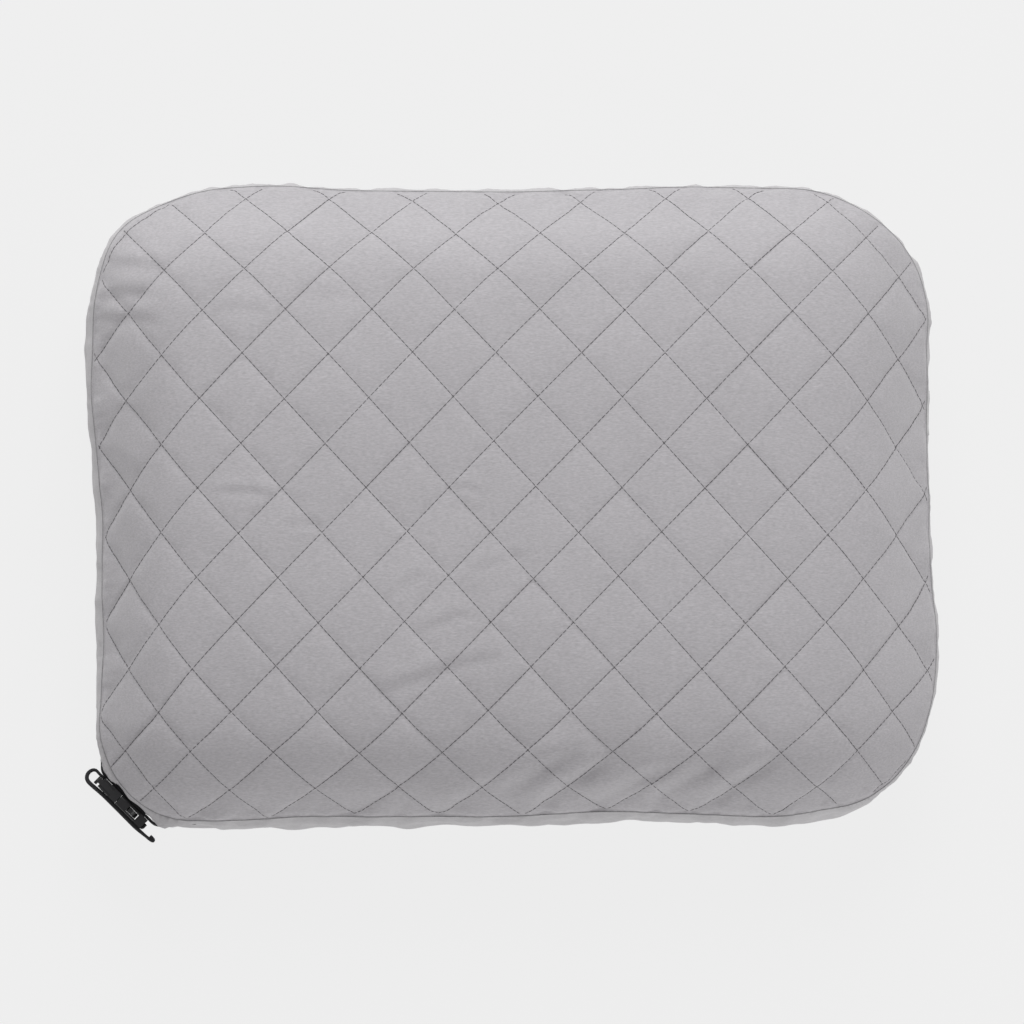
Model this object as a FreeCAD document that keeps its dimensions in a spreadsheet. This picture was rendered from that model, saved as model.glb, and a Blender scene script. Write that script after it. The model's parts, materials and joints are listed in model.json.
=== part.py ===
"""Camp pillow: a quilted zip-off cover over a foam-filled liner, with a small side-release
buckle and strap at one corner. Millimetres. X runs along the pillow, Y towards its zipped
back side and Z up from the surface that it lies on; the origin is under its middle."""

import FreeCAD, Part
import math
import os
import re
import Sketcher
from FreeCAD import Placement, Rotation, Vector

OUT = "parts"
X_AXIS = Vector(1, 0, 0)
Y_AXIS = Vector(0, 1, 0)
Z_AXIS = Vector(0, 0, 1)

# Driving dimensions, in mm and degrees: each becomes an aliased cell of the sheet.
SIZES = {
    "pillow_length": 460,
    "pillow_width": 348,
    "pillow_height": 120,
    "corner_radius": 75,
    "strap_corner_radius": 56,
    "top_edge_radius": 54,
    "bottom_edge_radius": 42,
    "seam_height": 62,
    # how far each surface lies inside the cover's outer face
    "outer_inset": 0,
    "face_inset": 0.8,
    "batting_outset": 1.1,
    "batting_inset": 3.1,
    "backing_outset": 3.4,
    "backing_inset": 3.8,
    "panel_inset": 1,
    "allowance_outset": 1.5,
    "allowance_inset": 2.5,
    "allowance_depth": 8,
    "liner_outset": 4.1,
    "liner_inset": 4.6,
    "fill_outset": 4.9,
    # how high the underside of each layer lies
    "floor_outer": 0,
    "floor_panel": 1,
    "floor_liner_out": 1.3,
    "floor_liner_in": 1.8,
    "floor_fill": 2.1,
    # flat where the strap pulls the corner in
    "strap_flat_cut": 3.4,
    # zipper in the lower back wall
    "zip_tilt": 25,
    "zip_facet_width": 24,
    "zip_facet_outer": 0,
    "zip_facet_panel": 1,
    "zip_facet_liner_out": 3.6,
    "zip_facet_liner_in": 4.1,
    "zip_facet_fill": 4.4,
    "zip_opening_length": 294,
    "zip_opening_width": 9.2,
    "tape_length": 304,
    "tape_width": 11.35,
    "tape_thick": 0.6,
    "tape_gap": 0.3,
    "chain_start": -142,
    "chain_half_width": 3,
    "chain_height": 2.2,
    "slider_home": 138,
    "slider_length": 11,
    "slider_plate": 1.1,
    "slider_top": 1.5,
    "slider_bottom": 3.2,
    "slider_neck_start": 1.9,
    "slider_neck_end": 4.6,
    "bridge_height": 4.6,
    "bridge_radius": 0.7,
    "bridge_reach": 2.5,
    "pull_eye_radius": 0.8,
    "pull_barrel_radius": 1.8,
    "pull_neck_width": 3.6,
    "pull_width": 6.4,
    "pull_length": 19,
    "pull_thick": 1.2,
    # webbing and buckle
    "web_width": 15,
    "web_thick": 1.2,
    "strap_level": 46,
    "wall_gap": 0.3,
    "tail_reach": 27,
    "buckle_width": 21,
    "buckle_thick": 6.2,
    "buckle_stand": 1.7,
    "frame_stand": 3.2,
    "frame_thick": 3.2,
    "rear_bar_thick": 3,
    "rear_bar_depth": 2.1,
    "rear_overlap": 0.4,
    "slot_width": 16.2,
    "socket_start": 1.2,
    "socket_length": 14.4,
    "socket_end": 20.5,
    "socket_wall": 1.5,
    "socket_side_wall": 1.6,
    "window_start": 8.2,
    "cavity_end": 15.2,
    "plug_length": 15,
    "rail_length": 12,
    "shoulder_depth": 3.6,
    "lip_depth": 1.6,
    "inner_slot": 3.8,
    "middle_bar": 2.2,
    "outer_slot": 3,
    "tongue_length": 13.8,
    "tongue_width": 4.4,
    "tongue_thick": 3,
    "tongue_stand": 3.3,
    "latch_thick": 2.8,
    "latch_stand": 3.4,
    "mouth_gap": 0.3,
    "prong_spacing": 12.6,
    "prong_root_radius": 1.1,
    "prong_root_gap": 0.1,
    "bartack_thick": 0.5,
    # care label in the right-hand seam
    "label_length": 24,
    "label_drop": 32,
    "label_thick": 0.4,
    "label_place": 40,
}

doc = FreeCAD.newDocument("camp_pillow")
sheet = doc.addObject("Spreadsheet::Sheet", "Sizes")
for row, (alias, value) in enumerate(SIZES.items(), 1):
    sheet.set("A%d" % row, alias)
    sheet.set("B%d" % row, str(value))
    sheet.setAlias("B%d" % row, alias)
doc.recompute()

kept = []  # (node name, object whose Shape is that node)


def size(alias):
    """A driving dimension's value, read back from the sheet."""
    return float(sheet.get(alias))


def cell(text):
    """An expression in which every driving dimension names its sheet cell."""
    return re.sub(r"[a-z_]+", lambda m: "Sizes." + m.group() if m.group() in SIZES else m.group(), text)


def bind(thing, **expressions):
    """Binds properties of an object to sheet expressions."""
    for name, text in expressions.items():
        thing.setExpression(name, cell(text))
    return thing


def keep(node, thing):
    """Marks an object as a sub-part: its Label names the exported file."""
    thing.Label = node
    kept.append((node, thing))
    return thing


# ---------------------------------------------------------------- frames


def zip_origin():
    """Middle of the flat facet in the lower back wall that carries the zipper."""
    tilt = math.radians(size("zip_tilt"))
    reach = facet_reach()
    back = size("pillow_width") / 2 - size("bottom_edge_radius")
    return Vector(0, back + reach * math.cos(tilt), size("bottom_edge_radius") - reach * math.sin(tilt))


def facet_reach():
    """Distance from the bottom edge's arc centre to the zipper facet."""
    half = size("zip_facet_width") / 2
    return math.sqrt(size("bottom_edge_radius") ** 2 - half**2)


def zip_frame(x=0.0, y=0.0, z=0.0):
    """Placement on the zipper facet: x along the zip, y down the wall, z out of it."""
    turn = Rotation(X_AXIS, -(90 + size("zip_tilt")))
    return Placement(zip_origin() + turn.multVec(Vector(x, y, z)), turn)


def strap_origin():
    """Middle of the corner flat, at the height of the strap's centre line."""
    inward = math.sqrt(0.5) * (size("strap_corner_radius") - size("strap_flat_cut"))
    return Vector(
        -(size("pillow_length") / 2 - size("strap_corner_radius")) - inward,
        -(size("pillow_width") / 2 - size("strap_corner_radius")) - inward,
        size("strap_level"),
    )


def strap_frame(x=0.0, y=0.0, z=0.0):
    """Placement on the corner flat: x along the strap, y into the pillow, z up."""
    turn = Rotation(Z_AXIS, -45)
    return Placement(strap_origin() + turn.multVec(Vector(x, y, z)), turn)


# ---------------------------------------------------------------- sketches


def plane_of(body, role):
    return [f for f in body.Origin.OriginFeatures if f.Role == role][0]


def sketch_on(body, role, name, shift=Placement()):
    """An empty sketch on one of a body's own origin planes."""
    sketch = body.newObject("Sketcher::SketchObject", name)
    sketch.AttachmentSupport = (plane_of(body, role), [""])
    sketch.MapMode = "FlatFace"
    sketch.AttachmentOffset = shift
    return sketch


def ring_of_lines(sketch, points):
    """A closed outline of straight lines through the points, each joined to the next."""
    ends = zip(points, points[1:] + points[:1])
    first = sketch.GeometryCount
    for a, b in ends:
        sketch.addGeometry(Part.LineSegment(Vector(a[0], a[1], 0), Vector(b[0], b[1], 0)))
    for k in range(len(points)):
        after = first + (k + 1) % len(points)
        sketch.addConstraint(Sketcher.Constraint("Coincident", first + k, 2, after, 1))


def box_outline(sketch, left, right, low, high):
    """A rectangle whose four sides are bound to sheet expressions."""
    first = sketch.GeometryCount
    ring_of_lines(sketch, [(-9, -9), (9, -9), (9, 9), (-9, 9)])
    for side, way in zip(range(4), ["Horizontal", "Vertical"] * 2):
        sketch.addConstraint(Sketcher.Constraint(way, first + side))
    spans = [
        ("DistanceX", 0, left, -9),
        ("DistanceY", 0, low, -9),
        ("DistanceX", 2, right, 9),
        ("DistanceY", 2, high, 9),
    ]
    for way, side, text, start in spans:
        made = sketch.addConstraint(Sketcher.Constraint(way, -1, 1, first + side, 1, start))
        sketch.setExpression("Constraints[%d]" % made, cell(text))


def pillow_outline(sketch, inset):
    """Rounded rectangle in plan, tighter at the strap's corner, drawn inset all round."""
    half = [size("pillow_length") / 2, size("pillow_width") / 2]
    radii = {corner: "corner_radius" for corner in ((1, 1), (-1, 1), (-1, -1), (1, -1))}
    radii[-1, -1] = "strap_corner_radius"
    names = list(radii)
    for k, (sx, sy) in enumerate(names):
        radius = size(radii[sx, sy])
        centre = Vector(sx * (half[0] - radius), sy * (half[1] - radius), 0)
        start = k * math.pi / 2
        circle = Part.Circle(centre, Z_AXIS, radius)
        sketch.addGeometry(Part.ArcOfCircle(circle, start, start + math.pi / 2))
    for k in range(4):
        a, b = sketch.Geometry[k], sketch.Geometry[(k + 1) % 4]
        sketch.addGeometry(Part.LineSegment(a.EndPoint, b.StartPoint))
    for k in range(4):
        sketch.addConstraint(Sketcher.Constraint("Tangent", k, 2, 4 + k, 1))
        sketch.addConstraint(Sketcher.Constraint("Tangent", 4 + k, 2, (k + 1) % 4, 1))
        sketch.addConstraint(Sketcher.Constraint("Vertical" if k % 2 else "Horizontal", 4 + k))
        made = sketch.addConstraint(Sketcher.Constraint("Radius", k, size(radii[names[k]])))
        sketch.setExpression("Constraints[%d]" % made, cell("%s - %s" % (radii[names[k]], inset)))
    reaches = [
        ("DistanceY", 4, 1, "pillow_width / 2 - %s" % inset, half[1]),
        ("DistanceX", 5, 1, "%s - pillow_length / 2" % inset, -half[0]),
        ("DistanceY", 6, 1, "%s - pillow_width / 2" % inset, -half[1]),
        ("DistanceX", 7, 1, "pillow_length / 2 - %s" % inset, half[0]),
    ]
    for way, line, end, text, start in reaches:
        made = sketch.addConstraint(Sketcher.Constraint(way, -1, 1, line, end, start))
        sketch.setExpression("Constraints[%d]" % made, cell(text))


# ---------------------------------------------------------------- features


def pad(body, sketch, name, reversed_=False, midplane=False, **sizes):
    made = body.newObject("PartDesign::Pad", name)
    made.Profile = sketch
    made.Reversed = reversed_
    made.Midplane = midplane
    return bind(made, **sizes)


def pocket(body, sketch, name, reversed_=False, midplane=False, **sizes):
    """A cut along the sketch's normal: through everything unless a Length is given."""
    made = body.newObject("PartDesign::Pocket", name)
    made.Profile = sketch
    made.Reversed = reversed_
    made.Midplane = midplane
    made.Type = 0 if sizes else 1
    return bind(made, **sizes)


def edges_where(shape, test):
    """Names of the edges whose sampled points all pass the test."""
    found = []
    for k, edge in enumerate(shape.Edges, 1):
        if all(test(p) for p in edge.discretize(5)):
            found.append("Edge%d" % k)
    return found


def round_edges(body, base, name, test, radius):
    """A fillet on the edges of a feature that pass the test."""
    doc.recompute()
    made = body.newObject("PartDesign::Fillet", name)
    made.Base = (base, edges_where(base.Shape, test))
    bind(made, Radius=radius)
    doc.recompute()
    return made


def near(value, wanted, within=0.01):
    return abs(value - wanted) < within


def cut(name, base, tool):
    made = doc.addObject("Part::Cut", name)
    made.Base, made.Tool = base, tool
    return made


def common(name, base, tool):
    made = doc.addObject("Part::Common", name)
    made.Base, made.Tool = base, tool
    return made


def block(name, place, **sizes):
    made = doc.addObject("Part::Box", name)
    bind(made, **sizes)
    made.Placement = place
    return made


def group(name, things):
    """Separate solids that share one node."""
    made = doc.addObject("Part::Compound", name)
    made.Links = things
    return made


# ---------------------------------------------------------------- soft layers


def cushion(name, inset, floor, zip_facet=None):
    """One closed cushion form. Every soft layer is the space between two of these.

    The plan outline is padded up, its top and bottom edges are rounded, the corner is cut
    flat where the strap lies and, if asked, the lower back wall gets the zipper's facet."""
    body = doc.addObject("PartDesign::Body", name)
    outline = sketch_on(body, "XY_Plane", name + "_outline")
    outline.setExpression("AttachmentOffset.Base.z", cell(floor))
    pillow_outline(outline, inset)
    height = "pillow_height - %s - %s" % (inset, floor)
    block_pad = pad(body, outline, name + "_pad", Length=height)
    top = size("pillow_height") - size(inset)
    bottom = size(floor)
    rounded = round_edges(
        body, block_pad, name + "_top", lambda p: near(p.z, top), "top_edge_radius - %s" % inset
    )
    round_edges(
        body, rounded, name + "_bottom", lambda p: near(p.z, bottom), "bottom_edge_radius - %s" % inset
    )

    corner = sketch_on(body, "XY_Plane", name + "_corner", Placement(Vector(), Rotation(Z_AXIS, 225)))
    for axis, side in (("x", "pillow_length"), ("y", "pillow_width")):
        text = cell("strap_corner_radius - %s / 2" % side)
        corner.setExpression("AttachmentOffset.Base." + axis, text)
    box_outline(corner, "strap_corner_radius - strap_flat_cut - %s" % inset, "90", "-70", "70")
    pocket(body, corner, name + "_flat", midplane=True)

    if zip_facet:
        tilt = Rotation(Z_AXIS, -size("zip_tilt"))
        wall = sketch_on(body, "YZ_Plane", name + "_wall", Placement(Vector(), tilt))
        wall.setExpression("AttachmentOffset.Base.x", cell("pillow_width / 2 - bottom_edge_radius"))
        wall.setExpression("AttachmentOffset.Base.y", cell("bottom_edge_radius"))
        wall_at = "%.6f - %s" % (facet_reach(), zip_facet)
        box_outline(wall, wall_at, "60", "-19", "19")
        pocket(body, wall, name + "_facet", midplane=True)
    return body


REACH = 500  # more than the pillow measures in any direction


def half_space(name, level):
    """A block, REACH tall, that stands at a level and covers the whole plan."""
    corner = Placement(Vector(-REACH, -REACH, 0), Rotation())
    made = block(name, corner, Length=str(2 * REACH), Width=str(2 * REACH), Height=str(REACH))
    made.setExpression("Placement.Base.z", cell(level))
    return made


def soft_layers():
    """Cover, liner and fill, from the outside in."""
    outer = cushion("outer_form", "outer_inset", "floor_outer", "zip_facet_outer")
    upper = half_space("above_seam", "seam_height")
    lower = half_space("below_seam", "seam_height - %d" % REACH)

    face_in = cushion("face_in", "face_inset", "floor_outer")
    face = cut("face_shell", outer, face_in)
    keep("cover_top_face", common("face_half", face, upper))

    batting_out = cushion("batting_out", "batting_outset", "floor_outer")
    batting_in = cushion("batting_in", "batting_inset", "floor_outer")
    batting = cut("batting_shell", batting_out, batting_in)
    keep("cover_quilt_batting", common("batting_half", batting, upper))

    backing_out = cushion("backing_out", "backing_outset", "floor_outer")
    backing_in = cushion("backing_in", "backing_inset", "floor_outer")
    backing = cut("backing_shell", backing_out, backing_in)
    keep("cover_quilt_backing", common("backing_half", backing, upper))

    panel_in = cushion("panel_in", "panel_inset", "floor_panel", "zip_facet_panel")
    panel = common("panel_half", cut("panel_shell", outer, panel_in), lower)
    depth = 8
    length, width = size("zip_opening_length"), size("zip_opening_width")
    mouth = block(
        "zip_mouth",
        zip_frame(-length / 2, -width / 2, -depth / 2),
        Length="zip_opening_length",
        Width="zip_opening_width",
        Height=str(depth),
    )
    keep("cover_bottom_panel", cut("panel_opened", panel, mouth))

    allowance_out = cushion("allowance_out", "allowance_outset", "floor_outer")
    allowance_in = cushion("allowance_in", "allowance_inset", "floor_outer")
    band = cut("allowance_shell", allowance_out, allowance_in)
    under = half_space("below_allowance", "seam_height - allowance_depth - %d" % REACH)
    keep("cover_seam_allowance", cut("allowance_band", common("allowance_half", band, lower), under))

    liner_out = cushion("liner_out", "liner_outset", "floor_liner_out", "zip_facet_liner_out")
    liner_in = cushion("liner_in", "liner_inset", "floor_liner_in", "zip_facet_liner_in")
    liner = cut("liner_shell", liner_out, liner_in)
    keep("liner_top_panel", common("liner_upper", liner, upper))
    keep("liner_bottom_panel", common("liner_lower", liner, lower))

    keep("foam_fill", cushion("fill_form", "fill_outset", "floor_fill", "zip_facet_fill"))


def care_label():
    """Blank folded label, sewn into the right-hand seam and hanging down the wall."""
    place = Vector(
        size("pillow_length") / 2 + size("wall_gap"),
        size("label_place"),
        size("seam_height") - size("label_drop"),
    )
    label = block(
        "label_block",
        Placement(place, Rotation()),
        Length="label_thick",
        Width="label_length",
        Height="label_drop",
    )
    keep("care_label", label)


# ---------------------------------------------------------------- zipper


def zip_block(name, x, y, z, length, width, height):
    """A block on the zipper facet. Its low corner is at x, y, z, from sheet values."""
    return block(name, zip_frame(x, y, z), Length=length, Width=width, Height=height)


def zipper_tapes():
    """Two woven tapes against the inside of the panel, parted where the slider's neck sits."""
    start = -size("tape_length") / 2
    under = -size("zip_facet_panel") - size("tape_thick")
    parted_from = size("slider_home") + size("slider_neck_start") - 0.6
    parted = 3.4
    past_end, through = "30", "4"
    half_gap = size("tape_gap") / 2
    rows = (("zipper_tape_upper", -half_gap - size("tape_width")), ("zipper_tape_lower", half_gap))
    for node, y in rows:
        tape = zip_block(node + "_strip", start, y, under, "tape_length", "tape_width", "tape_thick")
        notch = zip_block(
            node + "_notch", parted_from, -parted / 2, under - 1, past_end, str(parted), through
        )
        keep(node, cut(node + "_cut", tape, notch))


def zipper_chain():
    """The two coil rows, meshed along their inner edges, up to the slider's neck."""
    mesh_gap = 0.02
    length = "slider_home - chain_start + 0.9"
    rows = (("zipper_coil_upper", -size("chain_half_width")), ("zipper_coil_lower", mesh_gap))
    for node, y in rows:
        row = zip_block(
            node + "_row",
            size("chain_start"),
            y,
            -size("zip_facet_panel"),
            length,
            "chain_half_width - %s" % mesh_gap,
            "chain_height",
        )
        doc.recompute()
        rounded = doc.addObject("Part::Fillet", node + "_round")
        rounded.Base = row
        crown = 0.8
        rounded.Edges = [(k, crown, crown) for k in outer_long_edges(row.Shape)]
        keep(node, rounded)


def outer_long_edges(shape):
    """Numbers of a chain row's edges that run along X on its outward face."""
    outward = zip_frame().Rotation.multVec(Z_AXIS)
    top = max(v.Point.dot(outward) for v in shape.Vertexes)
    found = []
    for k, edge in enumerate(shape.Edges, 1):
        ends = [v.Point for v in edge.Vertexes]
        along = (ends[1] - ends[0]).normalize()
        if near(abs(along.x), 1) and all(near(p.dot(outward), top) for p in ends):
            found.append(k)
    return found


def zipper_stops():
    """Two top stops beyond the slider and one wide stop at the far end."""
    base = -size("zip_facet_panel")
    ahead = size("slider_home") + size("slider_length") / 2 + 0.4
    clamp = ("2.4", "1.6", "1.7")
    tops = [zip_block("top_stop_%d" % k, ahead, y, base, *clamp) for k, y in enumerate((-3.3, 1.7))]
    keep("zipper_top_stops", group("top_stops", tops))
    length = 3.4
    at = size("chain_start") - length - 0.1
    keep("zipper_bottom_stop", zip_block("bottom_stop", at, -3.2, base, str(length), "6.4", "1.9"))


def zipper_slider():
    """Slider: two plates joined by a neck, side rails, and a bridge that carries the pull."""
    body = doc.addObject("PartDesign::Body", "slider")
    half = size("slider_length") / 2
    tail, belly, nose = 3.9, 4.7, 4.3
    widest = half - 2.6
    side = [(-half, tail), (widest, belly), (half, nose)]
    shield = [(x, -y) for x, y in side] + side[::-1]
    start, end = size("slider_neck_start"), size("slider_neck_end")
    wedge = [(start, -0.5), (end, -1.3), (end, 1.3), (start, 0.5)]
    plates = (("upper", "slider_top"), ("lower", "-slider_bottom"))
    for name, level in plates:
        outline = sketch_on(body, "XY_Plane", "slider_%s_outline" % name)
        outline.setExpression("AttachmentOffset.Base.z", cell(level))
        ring_of_lines(outline, shield)
        if name == "lower":
            neck = sketch_on(body, "XY_Plane", "slider_neck_outline")
            neck.setExpression("AttachmentOffset.Base.z", cell("-slider_bottom"))
            ring_of_lines(neck, wedge)
            pad(body, neck, "slider_neck", Length="slider_bottom + slider_top + slider_plate / 2")
        pad(body, outline, "slider_%s_plate" % name, Length="slider_plate")
    for side in (-1, 1):
        rail = sketch_on(body, "XY_Plane", "slider_rail_outline_%d" % (side + 1))
        rail.AttachmentOffset = Placement(Vector(0, 0, 0.4), Rotation())
        inner = side * 3.3
        ring_of_lines(rail, [(-half, inner), (widest, inner), (widest, side * belly), (-half, side * tail)])
        pad(body, rail, "slider_rail_%d" % (side + 1), Length="slider_top + 0.1")
    bridge(body)
    body.Placement = zip_frame(size("slider_home"), 0, 0)
    return keep("zipper_slider", body)


def bridge(body):
    """Two posts on the slider's top plate and a round bar between them, along the travel."""
    post = 1.3
    for side in (-1, 1):
        foot = sketch_on(body, "XY_Plane", "bridge_foot_%d" % (side + 1))
        foot.setExpression("AttachmentOffset.Base.z", cell("slider_top + slider_plate - 0.2"))
        inner = side * size("bridge_reach")
        outer = inner + side * post
        half = size("bridge_radius")
        ring_of_lines(foot, [(inner, -half), (outer, -half), (outer, half), (inner, half)])
        height = "bridge_height + bridge_radius - slider_top - slider_plate + 0.2"
        pad(body, foot, "bridge_post_%d" % (side + 1), Length=height)
    ring = sketch_on(body, "YZ_Plane", "bridge_bar_outline")
    ring.setExpression("AttachmentOffset.Base.y", cell("bridge_height"))
    ring.addGeometry(Part.Circle(Vector(0, 0, 0), Z_AXIS, size("bridge_radius")))
    ring.addConstraint(Sketcher.Constraint("Coincident", 0, 3, -1, 1))
    made = ring.addConstraint(Sketcher.Constraint("Radius", 0, size("bridge_radius")))
    ring.setExpression("Constraints[%d]" % made, cell("bridge_radius"))
    pad(body, ring, "bridge_bar", midplane=True, Length="2 * bridge_reach + 0.6")


def zipper_pull():
    """Pull tab that hangs straight down from the bridge by a round eye."""
    body = doc.addObject("PartDesign::Body", "pull")
    barrel = sketch_on(body, "YZ_Plane", "pull_barrel_outline")
    barrel.addGeometry(Part.Circle(Vector(0, 0, 0), Z_AXIS, size("pull_barrel_radius")))
    pad(body, barrel, "pull_barrel", midplane=True, Length="pull_neck_width")
    neck, half, end = size("pull_neck_width") / 2, size("pull_width") / 2, size("pull_length")
    tab = sketch_on(body, "XZ_Plane", "pull_tab_outline")
    side = [(neck, -1), (neck, -2.8), (half - 0.6, -4.8), (half, -6.5), (half, 1.4 - end), (half - 1.4, -end)]
    ring_of_lines(tab, side + [(-x, z) for x, z in reversed(side)])
    pad(body, tab, "pull_tab", midplane=True, Length="pull_thick")
    bore = sketch_on(body, "YZ_Plane", "pull_eye")
    bore.addGeometry(Part.Circle(Vector(0, 0, 0), Z_AXIS, size("pull_eye_radius")))
    pocket(body, bore, "pull_bore", midplane=True)
    grip = sketch_on(body, "XZ_Plane", "pull_grip_outline")
    wide, low, high = 1.5, 3 - end, -8.5
    ring_of_lines(grip, [(-wide, low), (wide, low), (wide, high), (-wide, high)])
    pocket(body, grip, "pull_grip", midplane=True)
    axis = zip_frame(size("slider_home"), 0, size("bridge_height")).Base
    body.Placement = Placement(axis, Rotation())
    return keep("zipper_pull", body)


# ---------------------------------------------------------------- buckle


def wall_sketch(body, name, stand):
    """A sketch parallel to the pillow's wall, standing off it by a sheet dimension."""
    sketch = sketch_on(body, "XZ_Plane", name)
    sketch.setExpression("AttachmentOffset.Base.z", cell(stand))
    return sketch


def side_rails(body, name, start, end):
    """Full-thickness rails along both edges of a half, clear of the web between them."""
    inner, outer = "slot_width / 2", "buckle_width / 2 - 0.6"
    for side, low, high in (("lower", "-(%s)" % outer, "-" + inner), ("upper", inner, outer)):
        rail = wall_sketch(body, "%s_%s_rail_outline" % (name, side), "buckle_stand")
        box_outline(rail, start, end, low, high)
        pad(body, rail, "%s_%s_rail" % (name, side), Length="buckle_thick")


def buckle_socket():
    """Female half: a flat box open at the mouth, with side windows and a rear web bar."""
    body = doc.addObject("PartDesign::Body", "socket")
    shell = wall_sketch(body, "socket_outline", "buckle_stand")
    front, back = "socket_start", "socket_start + socket_length"
    box_outline(shell, front, back, "-buckle_width / 2", "buckle_width / 2")
    shell_pad = pad(body, shell, "socket_shell", Length="buckle_thick")
    outer_faces = (-size("buckle_stand"), -size("buckle_stand") - size("buckle_thick"))
    half = size("buckle_width") / 2
    round_edges(
        body,
        shell_pad,
        "socket_round",
        lambda p: near(abs(p.z), half) and any(near(p.y, y) for y in outer_faces),
        "1.6",
    )
    rear = wall_sketch(body, "socket_rear_outline", "frame_stand")
    box_outline(
        rear,
        back + " - rear_overlap",
        "socket_end",
        "-buckle_width / 2 + 0.6",
        "buckle_width / 2 - 0.6",
    )
    pad(body, rear, "socket_rear", Length="rear_bar_thick")
    side_rails(body, "socket", back + " - rear_overlap", "socket_end")

    cavity = sketch_on(body, "YZ_Plane", "socket_cavity_outline")
    cavity.setExpression("AttachmentOffset.Base.z", cell("socket_start - 0.1"))
    box_outline(
        cavity,
        "-buckle_stand - buckle_thick + socket_wall",
        "-buckle_stand - socket_wall",
        "-buckle_width / 2 + socket_side_wall",
        "buckle_width / 2 - socket_side_wall",
    )
    pocket(body, cavity, "socket_cavity", reversed_=True, Length="cavity_end - socket_start + 0.1")
    window = sketch_on(body, "XY_Plane", "socket_window_outline")
    box_outline(
        window,
        "window_start",
        "cavity_end",
        "-buckle_stand - buckle_thick + socket_wall",
        "-buckle_stand - socket_wall",
    )
    pocket(body, window, "socket_windows", midplane=True)
    slot = wall_sketch(body, "socket_slot_outline", "0")
    box_outline(slot, back, "socket_end - rear_bar_depth", "-slot_width / 2", "slot_width / 2")
    pocket(body, slot, "socket_slot", midplane=True)
    body.Placement = strap_frame()
    return keep("buckle_socket", body)


def buckle_plug():
    """Male half: shoulder and guide tongue in front, ladder-lock bars behind."""
    body = doc.addObject("PartDesign::Body", "plug")
    frame = wall_sketch(body, "plug_frame_outline", "frame_stand")
    box_outline(frame, "-plug_length", "0", "-buckle_width / 2", "buckle_width / 2")
    pad(body, frame, "plug_frame", Length="frame_thick")
    shoulder = wall_sketch(body, "plug_shoulder_outline", "buckle_stand")
    mouth = "socket_start - mouth_gap"
    box_outline(shoulder, "-shoulder_depth", mouth, "-buckle_width / 2", "buckle_width / 2")
    pad(body, shoulder, "plug_shoulder", Length="buckle_thick")
    lip = wall_sketch(body, "plug_lip_outline", "frame_stand")
    lip_end = "lip_depth - plug_length"
    box_outline(lip, "-plug_length", lip_end, "-buckle_width / 2 + 1.5", "buckle_width / 2 - 1.5")
    pad(body, lip, "plug_lip", Length="buckle_thick + buckle_stand - frame_stand")
    side_rails(body, "plug", "-rail_length", "-shoulder_depth")
    tongue = wall_sketch(body, "plug_tongue_outline", "tongue_stand")
    box_outline(tongue, "0", mouth + " + tongue_length", "-tongue_width / 2", "tongue_width / 2")
    pad(body, tongue, "plug_tongue", Length="tongue_thick")
    bar = "-shoulder_depth - inner_slot"
    slots = (
        ("inner", bar, "-shoulder_depth"),
        ("outer", bar + " - middle_bar - outer_slot", bar + " - middle_bar"),
    )
    for name, left, right in slots:
        slot = wall_sketch(body, "plug_%s_slot_outline" % name, "0")
        box_outline(slot, left, right, "-slot_width / 2", "slot_width / 2")
        made = pocket(body, slot, "plug_%s_slot" % name, midplane=True)
    half = size("buckle_width") / 2
    far = -size("plug_length")
    round_edges(
        body, made, "plug_round", lambda p: near(abs(p.z), half) and near(p.x, far), "1.5"
    )
    body.Placement = strap_frame()
    return keep("buckle_plug", body)


def prong_hinge():
    """Where a prong bends: the centre of its rounded root, in the strap's frame."""
    shoulder = size("socket_start") - size("mouth_gap")
    return shoulder + size("prong_root_radius") + size("prong_root_gap"), size("prong_spacing") / 2


def buckle_prong(node, side):
    """One springy side arm with its barbed head in the socket's window."""
    body = doc.addObject("PartDesign::Body", node + "_arm")
    x, z = prong_hinge()
    radius = size("prong_root_radius")
    arm = wall_sketch(body, node + "_outline", "latch_stand")
    outer = [(x, z + radius), (8.6, 7.7), (8.9, 10.1), (11.4, 10.2), (14.2, 8.4)]
    points = [Vector(a, side * b, 0) for a, b in outer + [(14.2, 6.8), (9.6, 5.7), (x, z - radius)]]
    for a, b in zip(points, points[1:]):
        arm.addGeometry(Part.LineSegment(a, b))
    arm.addGeometry(Part.Arc(points[-1], Vector(x - radius, side * z, 0), points[0]))
    pad(body, arm, node + "_pad", Length="latch_thick")
    body.Placement = strap_frame()
    return keep(node, body)


# ---------------------------------------------------------------- webbing


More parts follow.
